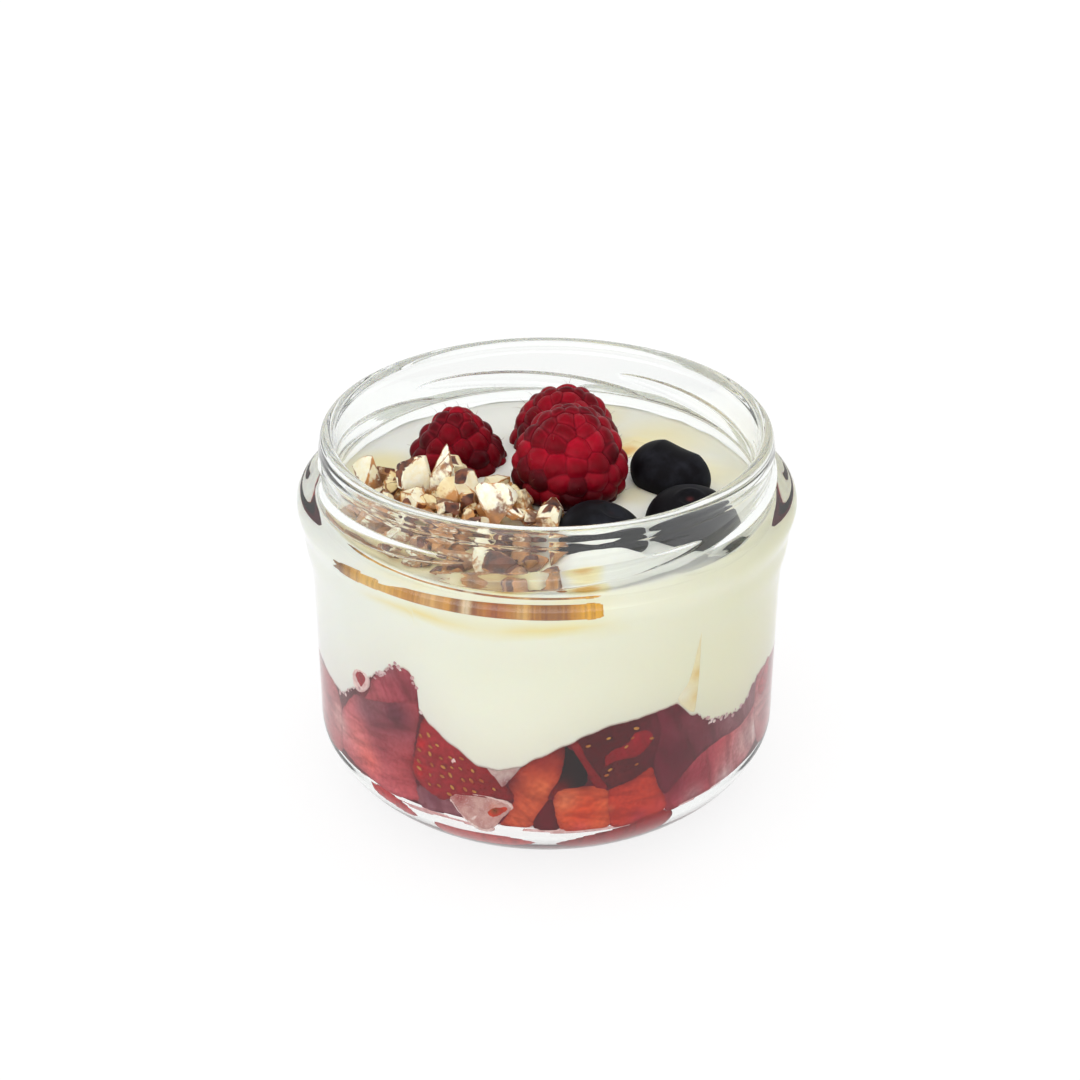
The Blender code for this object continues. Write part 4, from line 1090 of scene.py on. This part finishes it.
def make_strawberries():
    paints = {"flesh": flesh_material(), "skin": skin_material(), "film": film_material()}
    draw = random.Random(7)
    seeds = []
    for name, kind, lean, press, tint, corners, spots in FRONT_PIECES + back_pieces(random.Random(21)):
        small = kind == "film" or any(word in name for word in ("core", "oval", "bit"))
        spacing, rounding = (0.4, 0.5) if small else (0.55, 0.8)
        item, flat, apart = make_pad(name, corners, press, 2.2, paints[kind], tint, spots, spacing, rounding,
                                     lean)
        if kind == "skin":
            share = 0.34 if name == "skin_right" else 0.86
            seeds += [(*spot, press) for spot in skin_seeds(item, flat, apart, lean, draw, share)]
        hand_over(item, "strawberry", "strawberries")
    heel = ((HEEL_PIECES, "flesh", 1.2, 0.45, 0.6), (HEEL_LIGHT_PADS, "film", 0.8, 0.4, 0.5))
    for pads, kind, depth, spacing, rounding in heel:
        for name, press, tint, corners in pads:
            item = make_pad(name, corners, press, depth, paints[kind], tint, (), spacing, rounding)[0]
            hand_over(item, "strawberry", "strawberries")
    for press in sorted({spot[-1] for spot in seeds}):
        spots = [spot[:4] for spot in seeds if spot[-1] == press]
        make_seeds(f"pips_{round(press * 10000)}", spots, press + 0.02)
    make_froth(random.Random(13))


# ---------------------------------------------------------------- berries
def raspberry_material():
    paint = Paint("raspberry_skin", roughness=0.42, subsurface_weight=0.2, subsurface_scale=0.0012,
                  subsurface_radius=(1.0, 0.16, 0.12), sheen_weight=0.015, sheen_roughness=0.5,
                  specular_ior_level=0.08)
    paint.feed("Sheen Tint", lin(255, 170, 180))
    mottle = paint.ramp(paint.noise(420.0, 3.0), (0.4, (0.78, 0.6, 0.68)), (0.6, (1.0, 1.0, 1.0)))
    colour = paint.multiply(paint.tint(), mottle)
    # Painted shade: deep red in the creases between drupelets.
    paint.feed("Base Color", paint.mix(paint.value("crease_shade"), colour, lin(84, 0, 18)))
    paint.bump(paint.noise(1500.0, 2.0), 0.25, 0.12)
    return paint.material


RASPBERRY_SIDES = 264
RASPBERRY_ROWS = 178
RASPBERRY_WAIST = 0.42
RASPBERRY_TAPER = {"raspberry_front": 0.08, "raspberry_back": 0.12, "raspberry_left": 0.34}


def drupelet_centres(body, draw):
    """Staggered rows of drupelets over a berry's body, smaller towards its tip."""
    centres, sizes = [], []
    slope = np.linspace(0, math.pi, 240)
    section = np.array([body(angle, 0.0) for angle in slope])
    run = np.concatenate([[0], np.cumsum(np.linalg.norm(np.diff(section, axis=0), axis=1))])
    at = 1.7
    row = 0
    centres.append(body(0.06, 0.3))
    sizes.append(1.6)
    while at < run[-1] - 3.0:
        size = 1.66 + 0.5 * min(1.0, at / 9.0)
        if row:
            at += size * 0.86
        if at >= run[-1] - 2.0:
            break
        down = np.interp(at + (1.3 if row == 0 else 0), run, slope)
        ring = math.hypot(*body(down, 0.0)[:2])
        count = max(4, round(math.tau * ring / (size * 2.0)))
        shift = draw.uniform(0, 1)
        for index in range(count):
            turn = math.tau * (index + shift + draw.uniform(-0.26, 0.26)) / count
            centres.append(body(down + draw.uniform(-0.09, 0.09), turn))
            sizes.append(size * draw.uniform(0.85, 1.2))
        at += size * 0.86
        row += 1
    return np.array(centres), np.array(sizes)


def make_raspberry(node, seed, material, hair):
    low, high = box_mm(node)
    middle = (low + high) / 2
    radius = (high[0] - low[0]) / 2
    height = high[2] - low[2]
    waist = RASPBERRY_WAIST * height
    taper = RASPBERRY_TAPER[node]
    draw = random.Random(seed)

    def body(down, turn):
        way_z = math.cos(down)
        girth = radius * (1 - taper * max(0.0, way_z)) * math.sin(down)
        reach = (height - waist) if way_z > 0 else waist
        return (girth * math.cos(turn), girth * math.sin(turn), waist + way_z * reach)

    centres, sizes = drupelet_centres(body, draw)
    tones = np.array([draw.uniform(0.0, 1.0) for _ in sizes])
    deep, mid, bright, highlight_pink = rgb(84, 0, 14), rgb(122, 0, 20), rgb(162, 8, 34), rgb(194, 42, 62)
    rings, crease_shade, tints = [], [], []
    centre = np.array([0.0, 0.0, waist])
    for row in range(RASPBERRY_ROWS + 1):
        down = math.pi * row / RASPBERRY_ROWS
        turns = np.arange(1 if row in (0, RASPBERRY_ROWS) else RASPBERRY_SIDES) * math.tau / RASPBERRY_SIDES
        ring = np.array([body(down, turn) for turn in turns])
        gaps = np.linalg.norm(ring[:, None, :] - centres[None], axis=2) / sizes[None]
        order = gaps.argsort(1)[:, :2]
        nearest = order[:, 0]
        gap = gaps[np.arange(len(ring)), nearest]
        border = gaps[np.arange(len(ring)), order[:, 1]] - gap
        pillow = np.clip(border / 1.5, 0, 1)
        sink = 0.36 * (1 - pillow) ** 1.7 + 0.4 * gap ** 2
        sink = sink * (sizes[nearest] / 2.1) + 0.10 * np.exp(-(gap / 0.12) ** 2)
        inward = centre - ring
        inward /= np.maximum(np.linalg.norm(inward, axis=1, keepdims=True), 1e-9)
        rings.append(ring + inward * sink[:, None])
        # Painted shade in the narrow creases between drupelets.
        crease_shade.append(0.5 * np.clip(1 - border / 0.12, 0, 1))
        tone = tones[nearest][:, None]
        dusky, lively = deep + (mid - deep) * tone * 2, mid + (bright - mid) * (tone * 2 - 1)
        colour = np.where(tone < 0.5, dusky, lively)
        rise = np.clip(ring[:, 2] / height, 0, 1)
        # Painted highlight: a pinker ring round each drupelet on the upper part of the berry.
        painted_rim_highlight = np.exp(-((border - 0.3) / 0.12) ** 2) * np.clip((rise - 0.35) / 0.4, 0, 1) * 0.22
        colour = colour + (highlight_pink - colour) * painted_rim_highlight[:, None]
        # Painted light: each drupelet lighter on its upper side and darker below.
        lift = np.clip((ring[:, 2] - centres[nearest, 2]) / sizes[nearest], -1, 1)
        colour = colour * (0.92 + 0.24 * lift)[:, None]
        # Painted shade: the berry darker towards its bottom.
        dim = 0.26 + 0.74 * np.clip((rise - 0.2) / 0.55, 0, 1) ** 0.9
        tints.append(colour * dim[:, None])
    points, faces = capped_rings(rings)
    foot = np.array([middle[0], middle[1], low[2]])
    berry = make_object(f"{node}_fruit", points + foot, faces, material)
    put_attribute(berry, "crease_shade", np.concatenate(crease_shade))
    put_colours(berry, np.concatenate(tints))
    hand_over(berry, "raspberry", node)
    make_hairs(f"{node}_hairs", centres + foot, centre + foot, draw, hair)


def make_hairs(name, roots, centre, draw, material):
    """Short dry styles left standing on some of the drupelets."""
    points, faces = [], []
    for root in roots:
        if root[2] < CREAM_LEVEL + 3 or draw.random() < 0.5:
            continue
        out = Vector(root - centre).normalized()
        side = out.orthogonal().normalized()
        side.rotate(Matrix.Rotation(draw.uniform(0, math.tau), 3, out))
        length = draw.uniform(0.5, 1.6)
        if root[2] + length * max(out.z, 0.2) > BERRY_TOP - 0.1:
            continue
        start = len(points)
        for step in range(5):
            share = step / 4
            bend = 0.55 * length * share ** 2
            spot = Vector(root) + out * (length * (share - 0.1 * share ** 2)) + side * bend
            thin = 0.035 * (1 - 0.75 * share)
            for corner in range(3):
                turn = math.tau * corner / 3
                points.append(spot + (side * math.cos(turn) + out.cross(side) * math.sin(turn)) * thin)
        faces += ring_faces(5, 3, start)
        faces += [(start, start + 1, start + 2), (start + 14, start + 13, start + 12)]
    hand_over(make_object(name, np.array([tuple(point) for point in points]), faces, material), "raspberry")


def blueberry_material():
    paint = Paint("blueberry_skin", roughness=0.4, specular_ior_level=0.05)
    bloom = paint.between(paint.noise(150.0, 4.0, rough=0.6), 0.42, 0.72)
    base = paint.mix(bloom, lin(18, 17, 20), lin(39, 40, 46))
    paint.feed("Base Color", paint.mix(paint.value("crown"), base, lin(76, 36, 38)))
    paint.feed("Roughness", paint.sum("MULTIPLY_ADD", bloom, 0.2, 0.5))
    paint.bump(paint.noise(700.0, 3.0), 0.2, 0.1)
    return paint.material


BLUEBERRY_SIDES = 128
BLUEBERRY_ROWS = 80
# Angle from the tip at which the crown's bowl ends
CROWN_REACH = 0.27
BLUEBERRIES = {
    "blueberry_back": {"half": (7.4, 5.9, 5.5), "turn": -32.0, "tip": (0.0, 10.0), "pinch": 0.13,
                       "crown": 0.0},
    "blueberry_right": {"half": (7.5, 7.3, 5.9), "turn": 10.0, "tip": (14.0, -4.0), "pinch": 0.0,
                        "crown": 1.0, "raise": 1.1},
    "blueberry_front": {"half": (7.5, 7.2, 6.0), "turn": 0.0, "tip": (6.0, 16.0), "pinch": 0.0,
                        "crown": 0.15},
}


def make_blueberry(node, size, material):
    """Flattened berry with a sunk crown; a pinch makes it two lobes."""
    half = size["half"]
    rings, crown = [], []
    for row in range(BLUEBERRY_ROWS + 1):
        down = math.pi * row / BLUEBERRY_ROWS
        count = 1 if row in (0, BLUEBERRY_ROWS) else BLUEBERRY_SIDES
        turns = np.arange(count) * math.tau / count
        level = np.cos(down) + 0 * turns
        way = np.stack([np.sin(down) * np.cos(turns), np.sin(down) * np.sin(turns), level], -1)
        wobble = 1 + 0.012 * np.sin(3 * turns + 1.0) * math.sin(down)
        rise = down / CROWN_REACH
        crowned = size["crown"] > 0
        bowl = 0.55 * max(0.0, 1 - rise ** 2) * crowned
        lip = 0.2 * crowned * math.exp(-((rise - 1.12) / 0.22) ** 2) * (0.75 + 0.25 * np.cos(5 * turns))
        waist = np.clip(1 - (way[:, 0] / 0.45) ** 2, 0, 1) * (1 + np.clip(way[:, 2], 0, 1)) / 2
        girth = (1 - size["pinch"] * waist) * wobble
        ring = np.stack([way[:, 0] * half[0] * wobble, way[:, 1] * half[1] * girth,
                         way[:, 2] * half[2] * girth - bowl + lip - 0.2], -1)
        rings.append(ring)
        crown.append(np.full(count, size["crown"] * max(0.0, 1 - rise * 2.6)))
    points, faces = capped_rings(rings)
    tip_x, tip_y = (math.radians(angle) for angle in size["tip"])
    spin = Matrix.Rotation(math.radians(size["turn"]), 3, "Z")
    tilt = Matrix.Rotation(tip_x, 3, "X") @ Matrix.Rotation(tip_y, 3, "Y")
    points = points @ np.array(spin @ tilt).T
    low, high = box_mm(node)
    centre = (low + high) / 2 + np.array([0.0, 0.0, size.get("raise", 0.0)])
    own = (points.min(0) + points.max(0)) / 2
    points = points + centre - own
    berry = make_object(f"{node}_fruit", points, faces, material)
    put_attribute(berry, "crown", np.concatenate(crown))
    hand_over(berry, "blueberry", node)


# ---------------------------------------------------------------- nuts
# x, y, z, half sizes, yaw, tilt, share of skin kept, shade of the flesh
MAIN_NUTS = (
    (-30.8, -1.2, 58.3, 2.6, 2.4, 2.7, 20, 10, 0.5, 0.2),
    (-25.9, -5.0, 58.8, 2.0, 2.3, 2.8, 60, 20, 0.6, 0.9),
    (-22.0, -4.6, 60.0, 3.4, 2.6, 3.3, 30, 25, 0.55, 0.1),
    (-22.8, -11.0, 59.0, 2.9, 2.3, 2.2, -20, -18, 0.2, 0.3),
    (-17.8, -6.4, 61.0, 1.9, 2.3, 4.8, 10, 8, 0.15, 0.0),
    (-16.2, -9.4, 59.0, 1.7, 1.9, 2.4, 70, 15, 0.8, 0.8),
    (-14.9, -1.2, 59.6, 2.1, 2.1, 2.7, 0, 0, 0.9, 0.8),
    (-13.0, -9.7, 59.2, 2.6, 2.4, 3.4, -35, -20, 0.45, 0.3),
    (-8.4, -6.7, 60.2, 3.0, 2.4, 2.0, 15, 10, 0.4, 0.7),
    (-9.1, -15.8, 60.0, 3.3, 2.6, 3.7, 25, 12, 0.0, 0.0),
    (-4.0, -13.2, 59.0, 3.0, 2.6, 3.6, -30, -25, 0.4, 0.5),
    (0.6, -15.4, 58.2, 1.9, 1.9, 2.4, 10, 5, 0.4, 0.4),
    (-16.8, -15.4, 58.8, 2.7, 2.0, 2.0, 5, 10, 0.1, 0.2),
    (-20.0, -12.9, 58.4, 1.6, 1.6, 1.8, 40, 0, 0.9, 0.9),
    (-13.4, -17.2, 58.4, 2.0, 1.8, 1.9, 80, 10, 0.8, 0.7),
    (-27.6, -9.6, 58.0, 2.3, 2.3, 2.2, 60, 15, 0.3, 0.3),
)
NUT_SCATTER = 50
NUT_TRIES = 9000
NUT_ARC = (-95, 6)
NUT_RADII = (10, 35.2)
NUT_SIZES = (1.2, 2.7)
NUT_RISE = (0.3, 2.6)
# The heap ends at a slanting line behind, at a line on the right and at the glass
NUT_BACK_AT = -12.0
NUT_BACK_SLOPE = 0.52
NUT_RIGHT_EDGE = 1.5
NUT_WALL_REACH = 36.0
NUT_CROWDING = 0.62
NUT_EDGE = 0.42


def nut_material():
    paint = Paint("chopped_nut", roughness=0.5, subsurface_weight=0.1, subsurface_scale=0.001,
                  subsurface_radius=(1.0, 0.7, 0.4), coat_weight=0.2, coat_roughness=0.25)
    fine = paint.noise(900.0, 4.0, rough=0.6)
    ivory = paint.ramp(fine, (0.35, lin(250, 242, 208)), (0.62, lin(255, 254, 238)))
    tan = paint.ramp(paint.noise(420.0, 3.0), (0.35, lin(236, 206, 138)), (0.6, lin(252, 238, 190)))
    flesh = paint.mix(paint.value("shade"), ivory, tan)
    uneven = paint.sum("MULTIPLY_ADD", paint.noise(300.0, 4.0, rough=0.65), 1.7, -0.35)
    # Amber honey glaze, which near the cream also stands for painted shade on the undersides of the pieces.
    glaze_and_shade = paint.between(paint.sum("ADD", paint.value("glaze_and_shade"), uneven), 0.6, 0.84)
    amber = paint.ramp(paint.noise(330.0, 3.0), (0.35, lin(112, 52, 10)), (0.62, lin(204, 130, 40)))
    flesh = paint.mix(paint.sum("MULTIPLY", glaze_and_shade, 0.9), flesh, amber)
    skin = paint.ramp(paint.noise(700.0, 4.0), (0.35, lin(52, 20, 10)), (0.6, lin(122, 62, 28)))
    kept = paint.sum("MULTIPLY_ADD", paint.noise(520.0, 3.0), 0.7, paint.value("skin"))
    paint.feed("Base Color", paint.mix(paint.between(kept, 0.58, 0.78), flesh, skin))
    paint.bump(fine, 0.5, 0.25)
    return paint.material


def nut_points():
    draw = random.Random(17)
    nuts = list(MAIN_NUTS)
    tries = 0
    while len(nuts) < len(MAIN_NUTS) + NUT_SCATTER and tries < NUT_TRIES:
        tries += 1
        turn = math.radians(draw.uniform(*NUT_ARC))
        radius = draw.uniform(*NUT_RADII)
        x, y = radius * math.sin(turn), -radius * math.cos(turn)
        size = draw.uniform(*NUT_SIZES)
        if y > NUT_BACK_AT - NUT_BACK_SLOPE * x or x > NUT_RIGHT_EDGE or radius + size > NUT_WALL_REACH:
            continue
        if any(math.hypot(x - other[0], y - other[1]) < NUT_CROWDING * (size + other[3]) for other in nuts):
            continue
        z = float(cream_top(x, y)) + draw.uniform(*NUT_RISE)
        nuts.append((x, y, z, size * 1.25, size, size * 0.85, draw.uniform(0, 360), draw.uniform(-50, 50),
                     draw.choice((0.1, 0.3, 0.6, 0.9)), draw.choice((0.0, 0.1, 0.3, 0.8))))
    return nuts


def random_way(draw):
    return Vector((draw.gauss(0, 1), draw.gauss(0, 1), draw.gauss(0, 1))).normalized()


def chop(size, skin_way, skin, draw):
    """One chopped piece: part of a rounded nut, split along flat faces, with skin left on one side.

    Returns its points, how much skin each keeps, how sharp an edge each lies on, and the faces.
    """
    shape = bmesh.new()
    bmesh.ops.create_icosphere(shape, subdivisions=3, radius=1.0)
    ways = []
    count = draw.choice((6, 7, 8))
    while len(ways) < count:
        way = random_way(draw)
        if way.dot(skin_way) > 1.05 - 0.8 * skin or any(way.dot(other) > 0.8 for other in ways):
            if draw.random() < 0.95:
                continue
        ways.append(way)
        every = shape.verts[:] + shape.edges[:] + shape.faces[:]
        away = draw.uniform(0.26, 0.66)
        cut = bmesh.ops.bisect_plane(shape, geom=every, plane_co=way * away, plane_no=way, clear_outer=True)
        rim = [part for part in cut["geom_cut"] if isinstance(part, bmesh.types.BMEdge)]
        if rim:
            bmesh.ops.edgeloop_fill(shape, edges=rim)
    kept = shape.verts.layers.float.new("kept")
    for vertex in shape.verts:
        vertex[kept] = 1.0 if skin and vertex.co.length > 0.995 else 0.0
        vertex.co = Vector((vertex.co.x * size[0], vertex.co.y * size[1], vertex.co.z * size[2])) * 1.42
    bmesh.ops.triangulate(shape, faces=shape.faces[:])
    for _ in range(3):
        long_edges = [edge for edge in shape.edges if edge.calc_length() > NUT_EDGE * 1.4]
        if not long_edges:
            break
        bmesh.ops.subdivide_edges(shape, edges=long_edges, cuts=1)
        bmesh.ops.triangulate(shape, faces=[face for face in shape.faces if len(face.verts) > 3])
    points = np.array([tuple(vertex.co) for vertex in shape.verts])
    values = np.array([vertex[kept] for vertex in shape.verts])
    bends = np.array([max(edge.calc_face_angle(0.0) for edge in vertex.link_edges) for vertex in shape.verts])
    shape.verts.index_update()
    faces = [tuple(vertex.index for vertex in face.verts) for face in shape.faces]
    shape.free()
    return points, values, np.clip(bends / 0.7 - 0.4, 0, 1), faces


def make_nuts():
    draw = random.Random(31)
    every_point, every_face, skin_values, shade_values, glaze_and_shade_values = [], [], [], [], []
    start = 0
    for x, y, z, a, b, c, yaw, tilt, skin, shade in nut_points():
        skin_way = random_way(draw)
        for chunk in range(2 if max(a, b, c) > 2.2 else 1):
            scale = 1.0 if chunk == 0 else draw.uniform(0.55, 0.8)
            points, kept, rim, faces = chop((a * scale, b * scale, c * scale), skin_way, skin, draw)
            if len(points) < 12:
                continue
            seed = draw.uniform(0, 50)
            rim = rim * draw.uniform(0.1, 0.6)
            lumps = np.array([[0.16 * wave(point, 1.6, seed + turn) + 0.05 * wave(point, 0.5, seed + turn)
                               for turn in (0, 9, 18)] for point in points])
            points = points + lumps
            if chunk:
                points = points + np.array([draw.uniform(-0.55, 0.55) * a, draw.uniform(-0.55, 0.55) * b,
                                            draw.uniform(-0.5, 0.1) * c])
            turn = Matrix.Rotation(math.radians(yaw), 3, "Z") @ Matrix.Rotation(math.radians(tilt), 3, "Y")
            points = points @ np.array(turn).T + np.array([x, y, z])
            every_point.append(points)
            every_face += [tuple(start + corner for corner in face) for face in faces]
            start += len(points)
            skin_values.append(kept)
            shade_values.append(np.full(len(points), shade))
            # Honey glaze at sharp edges and low down; low down near the cream it is also painted shade.
            above = points[:, 2] - cream_top(points[:, 0], points[:, 1])
            near_cream_glaze_and_shade = np.clip(1.0 - (above - 0.6) / 4.2, 0, 1)
            glaze_and_shade_values.append(near_cream_glaze_and_shade * 0.6 + draw.uniform(-0.15, 0.1) + rim)
    points = np.concatenate(every_point)
    flat = np.hypot(points[:, 0], points[:, 1])
    limit = wall_radius(points[:, 2]) + 0.15
    points[:, :2] *= np.minimum(1, limit / np.maximum(flat, 1e-6))[:, None]
    nuts = make_object("nut_pieces", points, every_face, nut_material())
    nuts.data.set_sharp_from_angle(angle=math.radians(32))
    for name, values in (("skin", skin_values), ("shade", shade_values), ("glaze_and_shade", glaze_and_shade_values)):
        put_attribute(nuts, name, np.concatenate(values))
    hand_over(nuts, "nuts", "chopped_nuts")


# ---------------------------------------------------------------- stage
WHITE = (1.0, 1.0, 1.0, 1.0)
FLOOR_DROP = 0.2
# The light is dim towards this way and bright towards the opposite one
DIM_WAY = (0.28, 0.78, 0.56)
BRIGHT, DIM = 3.4, 0.97
CAMERA_TARGET = (-1.17, 0.0, 45.24)
CAMERA_DISTANCE = 350.0
CAMERA_PITCH = 28.71
CAMERA_LENS = 65.77


def make_floor():
    bpy.ops.mesh.primitive_plane_add(size=8.0, location=(0, 0, -FLOOR_DROP * MM))
    floor = bpy.context.active_object
    floor.name = "floor"
    paint = Paint("floor_white", base_color=(0.22, 0.22, 0.22, 1.0), roughness=0.9, emission_strength=0.80,
                  emission_color=WHITE, specular_ior_level=0.0)
    floor.data.materials.append(paint.material)


def make_light():
    """Soft light from all round, and plain white where the camera sees past the floor."""
    world = bpy.data.worlds.new("studio")
    bpy.context.scene.world = world
    world.use_nodes = True
    tree = world.node_tree
    tree.nodes.clear()

    def add(kind, **values):
        made = tree.nodes.new(kind)
        for key, value in values.items():
            made.inputs[key.replace("_", " ")].default_value = value
        return made

    coords = add("ShaderNodeTexCoord")
    facing = add("ShaderNodeVectorMath")
    facing.operation = "DOT_PRODUCT"
    facing.inputs[1].default_value = Vector(DIM_WAY).normalized()
    ramp = add("ShaderNodeMapRange", From_Min=-0.95, From_Max=0.1, To_Min=BRIGHT, To_Max=DIM)
    ramp.interpolation_type = "SMOOTHSTEP"
    light = add("ShaderNodeBackground", Color=WHITE)
    plain = add("ShaderNodeBackground", Color=WHITE, Strength=1.0)
    ray = add("ShaderNodeLightPath")
    mix = add("ShaderNodeMixShader")
    out = add("ShaderNodeOutputWorld")
    for source, target in (
        (coords.outputs["Generated"], facing.inputs[0]),
        (facing.outputs["Value"], ramp.inputs["Value"]),
        (ramp.outputs["Result"], light.inputs["Strength"]),
        (ray.outputs["Is Camera Ray"], mix.inputs["Fac"]),
        (light.outputs[0], mix.inputs[1]),
        (plain.outputs[0], mix.inputs[2]),
        (mix.outputs[0], out.inputs["Surface"]),
    ):
        tree.links.new(source, target)
    bpy.context.scene.view_settings.view_transform = "Standard"


def make_camera():
    pitch = math.radians(CAMERA_PITCH)
    data = bpy.data.cameras.new("camera")
    data.sensor_width = 36.0
    data.lens = CAMERA_LENS
    data.clip_start = 0.01
    camera = bpy.data.objects.new("camera", data)
    away = Vector((0, -math.cos(pitch), math.sin(pitch))) * CAMERA_DISTANCE
    camera.location = (Vector(CAMERA_TARGET) + away) * MM
    camera.rotation_euler = (math.pi / 2 - pitch, 0, 0)
    bpy.context.scene.collection.objects.link(camera)
    bpy.context.scene.camera = camera


make_jar()
make_cream()
make_honey()
make_juice()
make_strawberries()
berry_skin = raspberry_material()
hair_paint = Paint("dry_style", base_color=lin(120, 70, 50), roughness=0.6).material
for berry_seed, berry_node in enumerate(("raspberry_front", "raspberry_back", "raspberry_left")):
    make_raspberry(berry_node, berry_seed + 3, berry_skin, hair_paint)
blue_skin = blueberry_material()
for berry_node, berry_size in BLUEBERRIES.items():
    make_blueberry(berry_node, berry_size, blue_skin)
make_nuts()
make_floor()
make_light()
make_camera()
